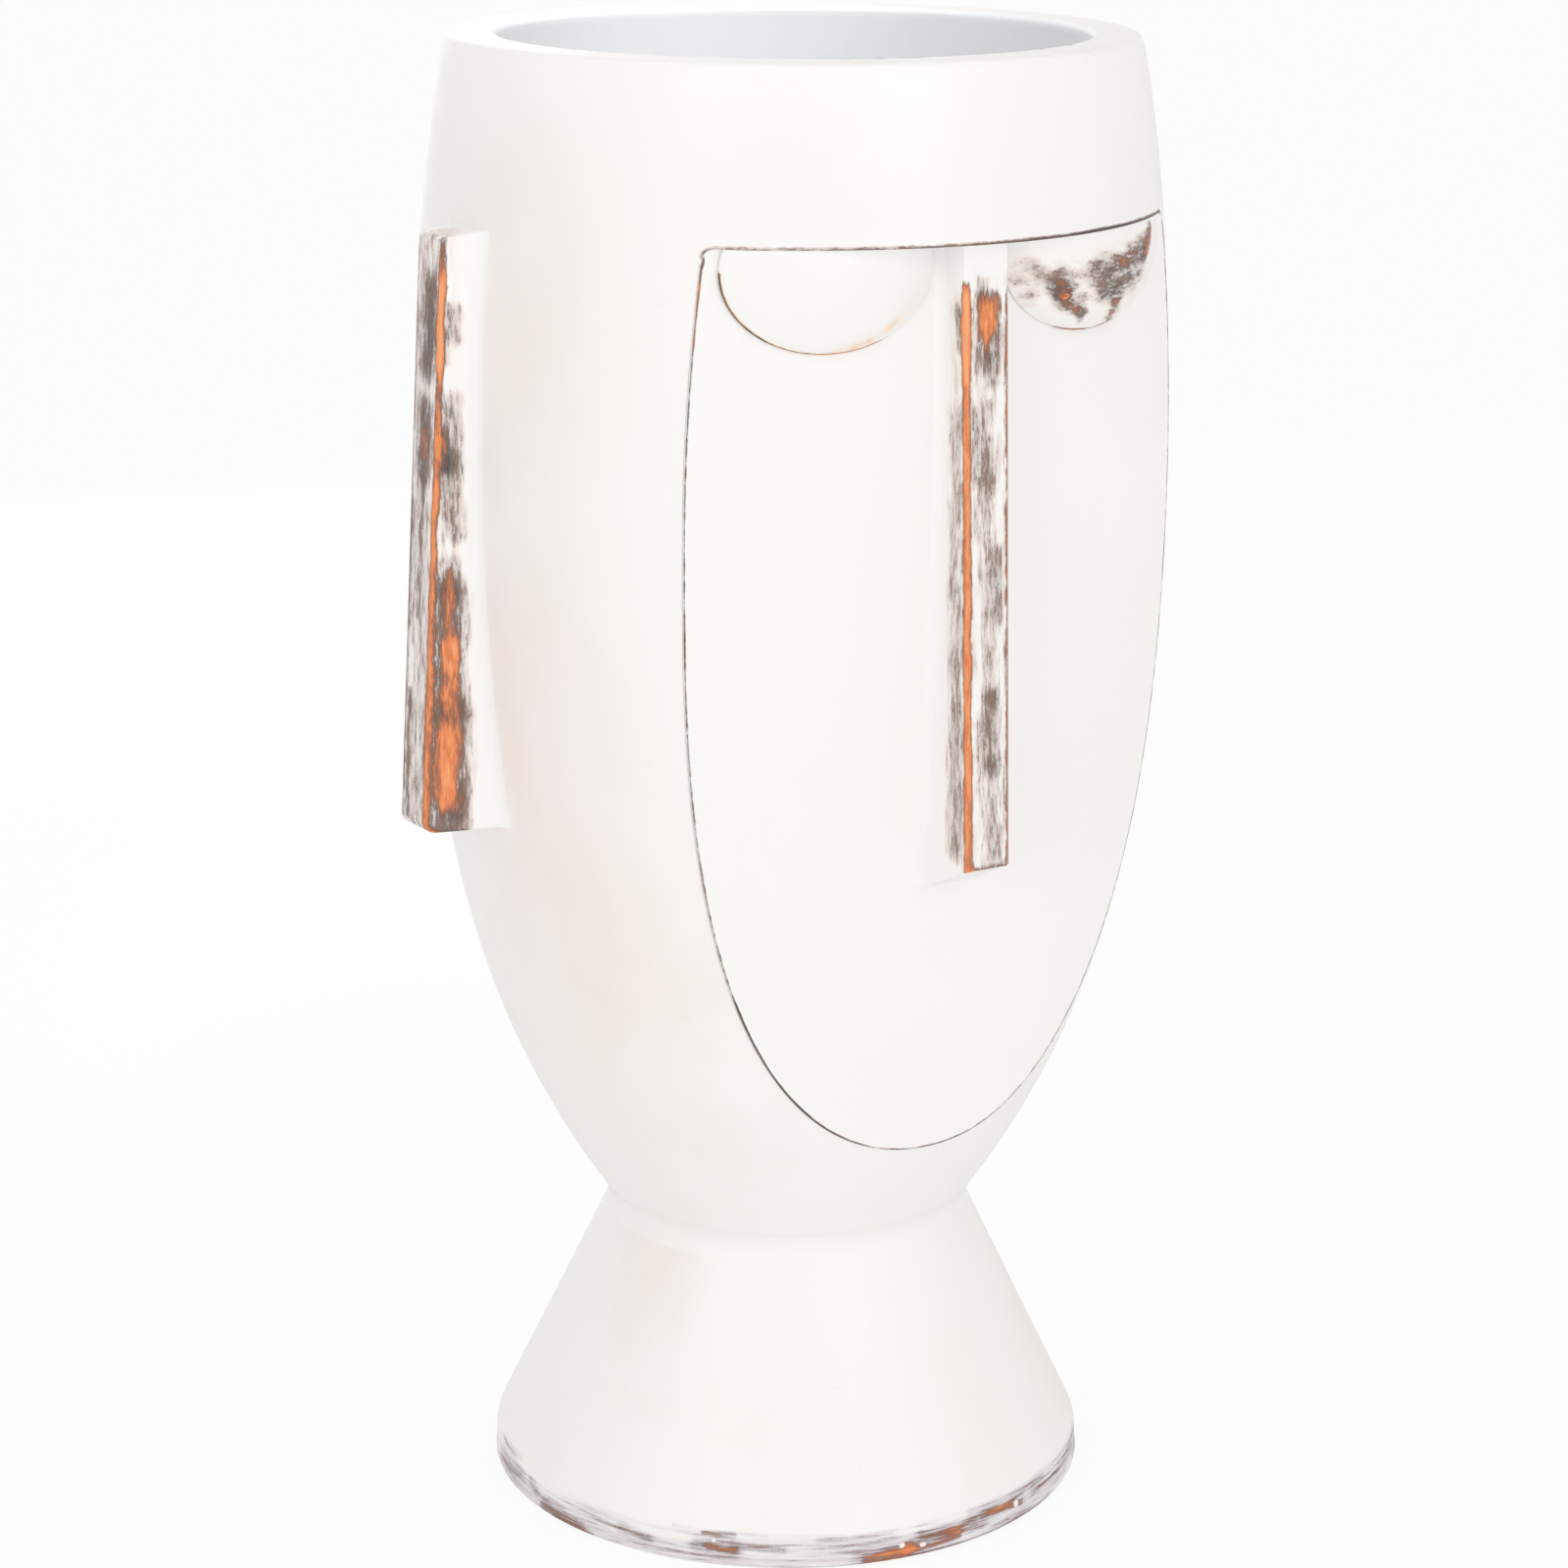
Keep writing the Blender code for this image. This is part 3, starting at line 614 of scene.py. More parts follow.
def face_front(across, height):
    """How far in front of the axis the face lies; at its outline it meets the round side of the head."""
    level = max(height, CHIN_HEIGHT)
    half_width = face_half_width(level)
    edge = sqrt(wall_radius(level) ** 2 - half_width ** 2)
    return edge + (half_width ** 2 - across ** 2) / (2 * FACE_BOW_RADIUS)


def cut(piece, cutter, operation="DIFFERENCE"):
    """Cuts a piece by a cutter, which is then thrown away."""
    modifier = piece.modifiers.new("cut", "BOOLEAN")
    modifier.operation = operation
    modifier.object = cutter
    graph = bpy.context.evaluated_depsgraph_get()
    mesh = bpy.data.meshes.new_from_object(piece.evaluated_get(graph))
    piece.modifiers.clear()
    piece.data = mesh
    bpy.data.objects.remove(cutter)


def sheet(columns, rows, place):
    """A sheet of faces; place gives where each corner lies from its column and its row."""
    form = bmesh.new()
    bmesh.ops.create_grid(form, x_segments=columns, y_segments=rows, size=1.0)
    for vertex in form.verts:
        vertex.co = place(round((vertex.co.x + 1.0) / 2 * columns), round((vertex.co.y + 1.0) / 2 * rows))
    return form


def closed(form):
    """Closes a sheet whose edges meet, and points its faces outwards."""
    bmesh.ops.remove_doubles(form, verts=form.verts[:], dist=MERGE)
    bmesh.ops.holes_fill(form, edges=[edge for edge in form.edges if edge.is_boundary], sides=0)
    face_outwards(form)
    return form


def relief_block(setback, far, top):
    """A block from the face's surface, moved inwards by setback, to the flat plane Y = far."""
    bottom = HEAD_LOW.z - BED_THICKNESS

    def place(column, row):
        across = BELLY_RADIUS * (2 * column / RELIEF_COLUMNS - 1)
        height = bottom + (top - bottom) * row / RELIEF_ROWS
        return (across, setback - face_front(across, height), height)

    form = sheet(RELIEF_COLUMNS, RELIEF_ROWS, place)
    back = bmesh.ops.extrude_face_region(form, geom=form.faces[:])
    for part in back["geom"]:
        if isinstance(part, bmesh.types.BMVert):
            part.co.y = far
    face_outwards(form)
    return as_object(form, "relief")


def face_outline(grow, top):
    """The outline of the face seen from the front, grown all round, with small round top corners."""
    half_width = FACE_HALF_WIDTH + grow
    length = FACE_WIDEST_HEIGHT - CHIN_HEIGHT + grow
    lower = []
    for angle in np.linspace(0.0, pi / 2, OUTLINE_STEPS)[:-1]:
        across = half_width * cos(angle) ** (2.0 / FACE_WIDTH_POWER)
        lower.append((across, FACE_WIDEST_HEIGHT - length * sin(angle) ** (2.0 / FACE_LENGTH_POWER)))
    centre = (half_width - BROW_DRAW_IN - FACE_CORNER_RADIUS, top - FACE_CORNER_RADIUS)
    corner = arc(centre, FACE_CORNER_RADIUS, pi / 2, 0.0)
    upper = [(face_half_width(height) + grow, height)
             for height in np.linspace(corner[-1][1], FACE_WIDEST_HEIGHT, WALL_STEPS)[1:-1]]
    right = straight((0.0, top), corner[0], WALL_STEPS)[1:] + corner + upper + lower
    left = [(-across, height) for across, height in right[::-1]]
    return [(0.0, top)] + right + [(0.0, CHIN_HEIGHT - grow)] + left


def face_prism(grow, top):
    """The face's outline drawn out from the axis of the pot to clear of its front."""
    form = bmesh.new()
    corners = [form.verts.new((across, 0.0, height)) for across, height in face_outline(grow, top)]
    face = form.faces.new(corners)
    front = bmesh.ops.extrude_face_region(form, geom=[face])
    moved = [part for part in front["geom"] if isinstance(part, bmesh.types.BMVert)]
    bmesh.ops.translate(form, verts=moved, vec=(0.0, -CLEAR_OF_ALL, 0.0))
    face_outwards(form)
    return as_object(form, "prism")


def head_profile():
    """Outer profile of the head, from the rim down to the flat base."""
    edge_base = TOTAL_HEIGHT - RIM_EDGE_RADIUS
    edge = arc((RIM_RADIUS - RIM_EDGE_RADIUS, edge_base), RIM_EDGE_RADIUS, pi / 2, 0.0)
    side = [point for point in WALL_POINTS if HEAD_LOW.z < point[1] < edge_base - RIM_EDGE_RADIUS / 2]
    base = [(wall_radius(HEAD_LOW.z), HEAD_LOW.z), (0.0, HEAD_LOW.z)]
    return [(0.0, TOTAL_HEIGHT)] + edge + side[::-1] + base


def cavity_profile():
    """Profile of the room inside the head, one wall in from the outer side, open at the top."""
    inner = []
    for before, here, after in zip(WALL_POINTS, WALL_POINTS[1:], WALL_POINTS[2:]):
        slope = atan2(after[0] - before[0], after[1] - before[1])
        inner.append((here[0] - SHELL_WALL * cos(slope), here[1] + SHELL_WALL * sin(slope)))
    lip_base = TOTAL_HEIGHT - RIM_EDGE_RADIUS
    lip = arc((RIM_RADIUS - SHELL_WALL + RIM_EDGE_RADIUS, lip_base), RIM_EDGE_RADIUS, pi / 2, pi)
    corner_top = FLOOR_HEIGHT + FLOOR_CORNER_RADIUS
    radii, heights = zip(*inner)
    corner_radius = float(np.interp(corner_top, heights, radii))
    side = [point for point in inner if corner_top < point[1] < lip_base - RIM_EDGE_RADIUS / 2]
    corner = arc((corner_radius - FLOOR_CORNER_RADIUS, corner_top), FLOOR_CORNER_RADIUS, 0.0, -pi / 2)
    above = TOTAL_HEIGHT + SHELL_WALL
    return [(0.0, above), (lip[0][0], above)] + lip + side[::-1] + corner + [(0.0, FLOOR_HEIGHT)]


def sharp_points(piece, low):
    """Points along the piece's sharp edges on the face side, above a height."""
    form = bmesh.new()
    form.from_mesh(piece.data)
    points = []
    for edge in form.edges:
        start, end = edge.verts[0].co, edge.verts[1].co
        if start.y < ARRIS_FRONT and start.z > low and edge.calc_face_angle(0.0) > ARRIS_ANGLE:
            points += between(start, end)
    form.free()
    return points


# painted light: these whites are brighter than the outer paint, to lift the shade in the bowl and under the
# brow
BRIGHTENED_WHITE = seen(252, 252, 253)
BRIGHTENED_WHITE_DULL = seen(250, 251, 252)
SPRAY_CLOUD = 0.05
SPRAY_SHEEN = 0.008
SPRAY_GRAIN = 0.0022
SPRAY_HEIGHT = 0.00006


def plain_white(name):
    """The plain white coat of the inside and of the brow's underside, sprayed on, left matt and whiter as
    painted light.
    """
    material, tree, shader = new_paint(name)
    place = node(tree, "TexCoord").outputs["Object"]
    cloud = ramp(tree, grain(tree, place, SPRAY_CLOUD, 3.0), 0.3, 0.7)
    sheen = times(tree, grain(tree, place, SPRAY_SHEEN, 3.0), 0.14, 0.48)
    relief = node(tree, "Bump", {"Height": grain(tree, place, SPRAY_GRAIN, 3.0), "Distance": SPRAY_HEIGHT})
    feed(tree, shader, {"Base Color": blend(tree, cloud, BRIGHTENED_WHITE, BRIGHTENED_WHITE_DULL), "Roughness": sheen,
                        "Normal": relief.outputs["Normal"]})
    return material


def on_head(across, height):
    """A place on the front of the head's round side."""
    return (across, -sqrt(wall_radius(height) ** 2 - across ** 2), height)


def on_side(degrees_round, height):
    """A place on the head's round side; 0 degrees is at the face, and the angle grows towards +X."""
    angle = radians(degrees_round)
    return (wall_radius(height) * sin(angle), -wall_radius(height) * cos(angle), height)


head_form = turned(head_profile())
by_hand(head_form)
head_piece = as_object(head_form, "head_vessel")
cavity = as_object(turned(cavity_profile()), "cavity")
cut(cavity, relief_block(TILE_THICKNESS + BACKING_WALL, -CLEAR_OF_ALL, BROW_HEIGHT + LEDGE_THICKNESS))
cut(head_piece, cavity)
pocket = face_prism(FACE_EDGE_MARGIN + SEAM, BROW_HEIGHT)
cut(pocket, relief_block(TILE_THICKNESS + SEAM, -CLEAR_OF_ALL, TOTAL_HEIGHT), "INTERSECT")
cut(head_piece, pocket)
smooth(head_piece)
note_arris(head_piece, sharp_points(head_piece, BROW_HEIGHT - BED_THICKNESS))
BROW_DARK = marks(on_head, [
    (-0.115, BROW_HEIGHT, -0.080, BROW_HEIGHT, 0.020, -0.20),
    (0.020, BROW_HEIGHT, 0.108, BROW_HEIGHT, 0.030, 0.70),
    (0.050, BROW_HEIGHT, 0.080, BROW_HEIGHT, 0.025, 0.70),
])
BROW_BARE = marks(on_head, [
    (-0.018, BROW_HEIGHT, 0.012, BROW_HEIGHT, 0.008, 0.12),
])
HEAD_STAINS = marks(on_side, [
    (-82, 0.560, -78, 0.250, 0.110, 0.55),
    (-50, 0.280, -60, 0.200, 0.090, 0.35),
    (75, 0.560, 80, 0.250, 0.100, 0.40),
    (170, 0.560, 190, 0.250, 0.100, 0.40),
])
head_piece.data.materials.append(rubbed_paint(
    "head_paint", (0.003, 0.003, 0.001), stains_and_shade=HEAD_STAINS, staining=0.20,
    line=(0.0021, 0.90, BROW_DARK, 0.10, BROW_BARE)))
head_piece.data.materials.append(plain_white("inside_paint"))
for face in head_piece.data.polygons:
    inwards = face.normal.xy.dot(face.center.xy) < TURNED_INWARDS * face.center.xy.length
    on_floor = face.normal.z > NEARLY_LEVEL and face.center.z < FLOOR_HEIGHT + FLOOR_CORNER_RADIUS
    under_brow = face.normal.z < -NEARLY_LEVEL and face.center.z > FACE_WIDEST_HEIGHT
    face.material_index = 1 if inwards or on_floor or under_brow else 0
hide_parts("head_shell")
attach(head_piece, "root")

# The face panel
# A bowed panel, bedded in the pocket under the brow. Its edge stands a hair proud of the round head, and
# there the paint is rubbed to a thin dark line, thickest beside the chin. Along its top, under the brow, a
# warm stain is painted as the brow's shade.
FACE_TOP = BROW_HEIGHT - SEAM


def on_face(across, height):
    """A place on the face's surface."""
    return (across, -face_front(across, height), height)


def round_front(across, height):
    """How far forward the panel's edge reaches: a hair in front of the head's round side."""
    return sqrt((wall_radius(height) + FACE_STANDS_PROUD) ** 2 - across ** 2)


def panel_arris(outer):
    """Where the panel's bowed front runs into its round edge, on the way from its middle to its outline."""
    inside, outside = PANEL_MIDDLE.lerp(outer, SEARCH_FROM), outer
    if face_front(*outside) <= round_front(*outside):
        return outside
    for _ in range(HALVINGS):
        halfway = inside.lerp(outside, 0.5)
        if face_front(*halfway) > round_front(*halfway):
            outside = halfway
        else:
            inside = halfway
    return inside


FRONT_RINGS = 40
BACK_RINGS = 6
SEARCH_FROM = 0.9
HALVINGS = 18
STEPS_PER_EDGE = 8
PANEL_MIDDLE = Vector((0.0, (FACE_TOP + CHIN_HEIGHT) / 2))
panel_outline = [Vector(point) for point in face_outline(FACE_EDGE_MARGIN, FACE_TOP)]
panel_outline.append(panel_outline[0])
panel_edge = [panel_arris(outer) for outer in panel_outline]


def panel_place(column, row):
    """Rings from the middle of the front out to the arris, over the edge, and back in behind."""
    if row <= FRONT_RINGS:
        share = row / FRONT_RINGS
        across, height = PANEL_MIDDLE.lerp(panel_edge[column], share)
        wave = 0.5 + 0.5 * noise.noise(Vector((across, 0.0, height)) / HAND_WAVELENGTH)
        return (across, HAND_UNEVENNESS * wave * (1.0 - share ** 4) - face_front(across, height), height)
    share = (FRONT_RINGS + 2 + BACK_RINGS - row) / BACK_RINGS
    across, height = PANEL_MIDDLE.lerp(panel_outline[column], share)
    if row == FRONT_RINGS + 1:
        across, height = panel_outline[column]
        return (across, -min(face_front(across, height), round_front(across, height)), height)
    return (across, TILE_THICKNESS - face_front(across, height), height)


panel_form = closed(sheet(len(panel_outline) - 1, FRONT_RINGS + 2 + BACK_RINGS, panel_place))
panel_piece = as_object(panel_form, "face_panel")
panel_line = []
for start, end in zip(panel_edge, panel_edge[1:]):
    if min(start.y, end.y) < FACE_TOP - FACE_CORNER_RADIUS:
        steps = np.linspace(0.0, 1.0, STEPS_PER_EDGE, endpoint=False)
        panel_line += [Vector(on_face(*start.lerp(end, step))) for step in steps]
note_arris(panel_piece, panel_line)
OUTLINE_DARK = marks(on_face, [
    (-0.112, 0.586, -0.114, 0.570, 0.012, 0.45),
    (-0.094, 0.262, -0.062, 0.214, 0.012, 1.70),
    (-0.062, 0.214, -0.036, 0.195, 0.010, 1.10),
    (-0.012, 0.188, 0.012, 0.188, 0.012, 0.45),
])
# painted shade: stronger warm staining along the top of the face, where the brow's shade falls
BROW_PAINTED_SHADE = marks(on_face, [
    (-0.100, 0.586, 0.100, 0.586, 0.022, 0.4),
])
OUTLINE_BARE = marks(on_face, [
    (-0.1145, 0.572, -0.117, 0.550, 0.006, 0.75),
    (-0.088, 0.250, -0.074, 0.228, 0.008, 0.35),
    (-0.006, 0.187, 0.000, 0.187, 0.004, 0.60),
    (0.1215, 0.520, 0.1215, 0.400, 0.030, 0.25),
])
panel_piece.data.materials.append(rubbed_paint(
    "panel_paint", (0.003, 0.003, 0.003), stains_and_shade=BROW_PAINTED_SHADE, staining=0.15,
    line=(0.0010, 0.80, OUTLINE_DARK, 0.0, OUTLINE_BARE)))
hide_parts("face_tile")
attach(panel_piece, "root")

# The nose
# A straight cast bar bonded on the face under the brow, thicker at its root and undercut at its tip. Its
# left arris is rubbed right through to orange, and its front is streaked along its length.
NOSE_HALF_WIDTH = 0.0108
NOSE_LENGTH = 0.265
NOSE_REACH_TOP = 0.0145
NOSE_REACH_BOTTOM = 0.0290
NOSE_DRAFT = radians(5.7)
NOSE_UNDERCUT = 0.0135
NOSE_EDGE_RADIUS = 0.0016
ROOT_COVE = 0.0045
ROOT_SINK = 0.0001
FLANK_STEPS = 10
FRONT_STEPS = 7
ROOT_STEPS = 10
ROW_PITCH = 0.0025
EASED_SHARE = 0.3


def rounding(distance, radius):
    """How far a round edge draws in at a distance from its end, less than its radius."""
    return radius - sqrt(radius ** 2 - (radius - distance) ** 2) if distance < radius else 0.0


def bar_outline(front, half_thickness, draft, edge_radius, ground):
    """The outline across a bar that stands out from the ground: coves, splayed flanks and round arrises."""
    across = half_thickness
    for _ in range(HALVINGS):
        across = half_thickness + tan(draft) * (front - ground(across))
    corner = Vector((across, ground(across) - ROOT_SINK, 0.0))
    foot = Vector((across + ROOT_COVE, ground(across + ROOT_COVE) - ROOT_SINK, 0.0))
    end = corner + ROOT_COVE * Vector((-sin(draft), cos(draft), 0.0))
    cove = interpolate_bezier(foot, foot.lerp(corner, COVE_HANDLE), end.lerp(corner, COVE_HANDLE), end,
                              COVE_STEPS)
    centre = (half_thickness - edge_radius * (1.0 - sin(draft)) / cos(draft), front - edge_radius)
    edge = arc(centre, edge_radius, draft, pi / 2)
    flank = straight((end.x, end.y), edge[0], FLANK_STEPS)[1:]
    half = [(point.x, point.y) for point in cove] + flank + edge
    face = straight(edge[-1], (-edge[-1][0], front), 2 * FRONT_STEPS)[1:]
    root = [(u, ground(u) - ROOT_SINK) for u in np.linspace(-foot.x, foot.x, ROOT_STEPS + 1)]
    return half + face + [(-u, v) for u, v in half[::-1]] + root[1:]


def bar(outer_top, outer_toe, root_top, root_toe, ground_at, half_thickness, draft, edge_radius,
        top_radius, toe_radius):
    """A cast bar along Z, in rows of outlines (across, out), raised between its root and its outer face."""
    length = outer_top[1] - outer_toe[1]
    turn = [1.0 - cos(angle) for angle in np.linspace(0.0, pi / 2, CORNER_STEPS + 1)[1:]]
    steps = [0.0] + [top_radius * share for share in turn] if top_radius else [0.0]
    steps += list(np.arange(steps[-1] + ROW_PITCH, length - toe_radius - ROW_PITCH / 2, ROW_PITCH))
    steps += [length - toe_radius * share for share in turn[::-1]] + [length]
    rows = []
    for step in steps:
        share = step / length
        drawn_in = rounding(step, top_radius) if top_radius else 0.0
        set_back = drawn_in + rounding(length - step, toe_radius)
        front = outer_top[0] + (outer_toe[0] - outer_top[0]) * share - set_back
        half = half_thickness - drawn_in - rounding(length - step, edge_radius) + tan(draft) * set_back
        outer = outer_top[1] + (outer_toe[1] - outer_top[1]) * share
        root = root_top + (root_toe - root_top) * share
        base = ground_at(0.0, root)
        outline = bar_outline(front, half, draft, edge_radius, lambda u: ground_at(u, root))
        rows.append([(u, v, root + (outer - root) * (v - base) / (front - base)) for u, v in outline])
    return closed(sheet(len(rows[0]) - 1, len(rows) - 1, lambda column, row: rows[row][column]))


nose_top = FACE_TOP
nose_tip = BROW_HEIGHT - NOSE_LENGTH
nose_front_top = (face_front(0.0, nose_top) + NOSE_REACH_TOP, nose_top)
nose_front_tip = (face_front(0.0, nose_tip) + NOSE_REACH_BOTTOM, nose_tip)
nose_form = bar(nose_front_top, nose_front_tip, nose_top, nose_tip - NOSE_UNDERCUT, face_front,
                NOSE_HALF_WIDTH, NOSE_DRAFT, NOSE_EDGE_RADIUS, 0.0, NOSE_EDGE_RADIUS)
for vertex in nose_form.verts:
    vertex.co = (vertex.co.x, -vertex.co.y, vertex.co.z)
face_outwards(nose_form)
nose_piece = as_object(nose_form, "nose_bar")


def on_nose(across, height):
    """A place on the front of the nose."""
    slope = (nose_front_tip[0] - nose_front_top[0]) / (nose_top - nose_tip)
    return (across, -(nose_front_top[0] + slope * (nose_top - height)), height)


def on_nose_flank(depth, height):
    """A place on the left flank of the nose, at a depth behind its front."""
    front = on_nose(0.0, height)
    return (-NOSE_HALF_WIDTH - tan(NOSE_DRAFT) * depth, front[1] + depth, height)


eased = EASED_SHARE * NOSE_EDGE_RADIUS
left_top, left_tip, right_tip, right_top = [
    Vector(on_nose(across, height)) + Vector((0.0, eased, 0.0))
    for across, height in ((eased - NOSE_HALF_WIDTH, nose_top), (eased - NOSE_HALF_WIDTH, nose_tip),
                           (NOSE_HALF_WIDTH - eased, nose_tip), (NOSE_HALF_WIDTH - eased, nose_top))]
nose_arris = between(left_top, left_tip) + between(left_tip, right_tip) + between(right_tip, right_top)
note_arris(nose_piece, nose_arris)
NOSE_RUBS = marks(on_nose, [
    (0.000, 0.5600, 0.000, 0.3250, 0.0200, 0.20),
    (-0.002, 0.5700, -0.002, 0.5620, 0.0060, 0.38),
    (-0.0010, 0.5600, -0.0010, 0.5400, 0.0105, 0.54),
    (0.0010, 0.5400, 0.0025, 0.5290, 0.0050, 0.41),
    (0.0060, 0.5520, 0.0050, 0.5330, 0.0028, 0.38),
    (0.0010, 0.5210, 0.0010, 0.5190, 0.0024, 0.36),
    (-0.0040, 0.5170, -0.0030, 0.4900, 0.0080, 0.38),
    (0.0020, 0.5050, 0.0020, 0.4840, 0.0050, 0.22),
    (-0.0020, 0.4880, -0.0020, 0.4640, 0.0075, 0.23),
    (0.0050, 0.4580, 0.0050, 0.4300, 0.0050, 0.41),
    (0.0000, 0.4540, 0.0010, 0.4130, 0.0070, 0.25),
    (0.0010, 0.4080, 0.0015, 0.3970, 0.0065, 0.23),
    (0.0010, 0.3960, 0.0010, 0.3680, 0.0090, 0.52),
    (0.0020, 0.3660, 0.0030, 0.3300, 0.0080, 0.31),
]) + marks(on_nose_flank, [
    (0.006, 0.5150, 0.007, 0.4450, 0.0085, 0.24),
    (0.007, 0.4400, 0.007, 0.3960, 0.0085, 0.28),
    (0.007, 0.3900, 0.008, 0.3320, 0.0095, 0.38),
    (0.004, 0.5580, 0.004, 0.5440, 0.0050, 0.38),
    (0.006, 0.5600, 0.008, 0.3300, 0.0120, 0.13),
])
NOSE_BARES = marks(on_nose, [
    (0.0004, 0.5600, 0.0000, 0.5540, 0.0105, 0.64),
    (0.0004, 0.5560, -0.0010, 0.5440, 0.0078, 0.46),
    (0.0070, 0.5280, 0.0070, 0.5250, 0.0030, 0.24),
]) + marks(on_nose_flank, [
    (0.0020, 0.5560, 0.0020, 0.5420, 0.0040, 0.30),
])
NOSE_DARK_LINE = [
    ((-NOSE_HALF_WIDTH, -0.150, 0.568), (-NOSE_HALF_WIDTH, -0.157, nose_tip), 0.008, 0.45),
    ((NOSE_HALF_WIDTH, -0.148, 0.570), (NOSE_HALF_WIDTH, -0.157, nose_tip), 0.008, 0.26),
    ((-0.006, -0.157, nose_tip), (0.006, -0.157, nose_tip), 0.006, 0.75),
]
NOSE_BARE_LINE = [
    ((-NOSE_HALF_WIDTH, -0.150, 0.564), (-NOSE_HALF_WIDTH, -0.157, nose_tip), 0.010, 1.12),
    ((-NOSE_HALF_WIDTH, -0.148, 0.562), (-NOSE_HALF_WIDTH, -0.149, 0.536), 0.012, 0.80),
    ((NOSE_HALF_WIDTH, -0.148, 0.562), (NOSE_HALF_WIDTH, -0.157, nose_tip), 0.010, 0.54),
]
nose_piece.data.materials.append(rubbed_paint(
    "nose_paint", (0.0006, 0.0006, 0.0038), NOSE_RUBS, NOSE_BARES, staining=0.1,
    line=(0.0034, 0.0, NOSE_DARK_LINE, 0.0, NOSE_BARE_LINE)))
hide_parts("nose")
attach(nose_piece, "root")

# The eyelids
# Two shallow domes, cut off straight under the brow and bonded on the face. The left one is only outlined,
# and the right one is rubbed in patches.
EYELID_SPACING = 0.1274
EYELID_HALF_WIDTH = 0.047
EYELID_HALF_HEIGHT = 0.0345
EYELID_CENTRE_DROP = 0.010
EYELID_BULGE = 0.0125
EYELID_STEP = 0.0015
EYELID_FALL = 0.8
EYELID_SEGMENTS = 128
EYELID_RIM_POINTS = 400
EYELID_SEAM = SEAM / 3


def eyelid_place(side, local):
    """Where a place on the flat eyelid, seen from its own front, lies on the bowed face."""
    across = side * EYELID_SPACING / 2
    facing = atan2(across, FACE_BOW_RADIUS)
    height = BROW_HEIGHT - EYELID_CENTRE_DROP
    centre = Vector((across, -face_front(across, height), height))
    centre += EYELID_STEP * Vector((sin(facing), -cos(facing), 0.0))
    bowed = Vector((local[0], local[1] + local[0] ** 2 / (2 * FACE_BOW_RADIUS), local[2]))
    return centre + Matrix.Rotation(facing, 3, "Z") @ bowed


def eyelid(name, side):
    form = bmesh.new()
    bmesh.ops.create_uvsphere(form, u_segments=EYELID_SEGMENTS, v_segments=EYELID_SEGMENTS // 2, radius=1.0)
    bmesh.ops.scale(form, verts=form.verts[:], vec=(EYELID_HALF_WIDTH, EYELID_BULGE, EYELID_HALF_HEIGHT))
    for vertex in form.verts:
        out = vertex.co.x ** 2 / EYELID_HALF_WIDTH ** 2 + vertex.co.z ** 2 / EYELID_HALF_HEIGHT ** 2
        bulge = EYELID_BULGE * (1.0 - min(out, 1.0)) ** EYELID_FALL
        vertex.co.y = -bulge if vertex.co.y < 0 else bulge
        vertex.co = eyelid_place(side, vertex.co)
    trimmed = bmesh.ops.bisect_plane(form, geom=form.verts[:] + form.edges[:] + form.faces[:],
                                     plane_co=(0.0, 0.0, FACE_TOP), plane_no=(0.0, 0.0, 1.0),
                                     clear_outer=True)
    rim = [part for part in trimmed["geom_cut"] if isinstance(part, bmesh.types.BMEdge)]
    bmesh.ops.contextual_create(form, geom=rim)
    face_outwards(form)
    piece = as_object(form, name)
    cut(piece, relief_block(-EYELID_SEAM, 0.0, TOTAL_HEIGHT))
    smooth(piece)
    note_arris(piece, [eyelid_place(side, (EYELID_HALF_WIDTH * cos(a), 0.0, EYELID_HALF_HEIGHT * sin(a)))
                       for a in np.linspace(-pi, 0.0, EYELID_RIM_POINTS)])
    return piece


def on_eyelid(side, across, drop):
    """A place on an eyelid, from the pot's middle plane and down from the brow."""
    height = BROW_HEIGHT - drop
    u = (across - side * EYELID_SPACING / 2) / EYELID_HALF_WIDTH
    v = (drop - EYELID_CENTRE_DROP) / EYELID_HALF_HEIGHT
    bulge = EYELID_BULGE * max(1.0 - u * u - v * v, 0.0) ** EYELID_FALL + EYELID_STEP
    return (across, -face_front(across, height) - bulge, height)


left_eyelid = eyelid("left_eyelid", -1.0)
LEFT_RIM_DARK = marks(on_eyelid, [
    (-0.110, 0.010, -0.094, 0.036, 0.012, 1.60),
    (-0.092, 0.038, -0.078, 0.044, 0.009, 0.60),
], -1)
LEFT_RIM_BARE = marks(on_eyelid, [
    (-0.084, 0.042, -0.060, 0.0455, 0.010, 0.50),
    (-0.064, 0.046, -0.045, 0.040, 0.012, 0.62),
    (-0.043, 0.038, -0.030, 0.022, 0.010, 0.44),
], -1)
LEFT_RUBS = marks(on_eyelid, [
    (-0.082, 0.0425, -0.067, 0.0445, 0.0030, 0.13),
    (-0.062, 0.0440, -0.048, 0.0405, 0.0066, 0.15),
    (-0.041, 0.0370, -0.030, 0.0260, 0.0070, 0.13),
], -1)
left_eyelid.data.materials.append(rubbed_paint(
    "left_eyelid_paint", (0.004, 0.004, 0.004), LEFT_RUBS, staining=0.15,
    line=(0.0017, 0.0, LEFT_RIM_DARK, 0.0, LEFT_RIM_BARE),
    blush=(248, 212, 168), haze=(236, 186, 132)))
right_eyelid = eyelid("right_eyelid", 1.0)
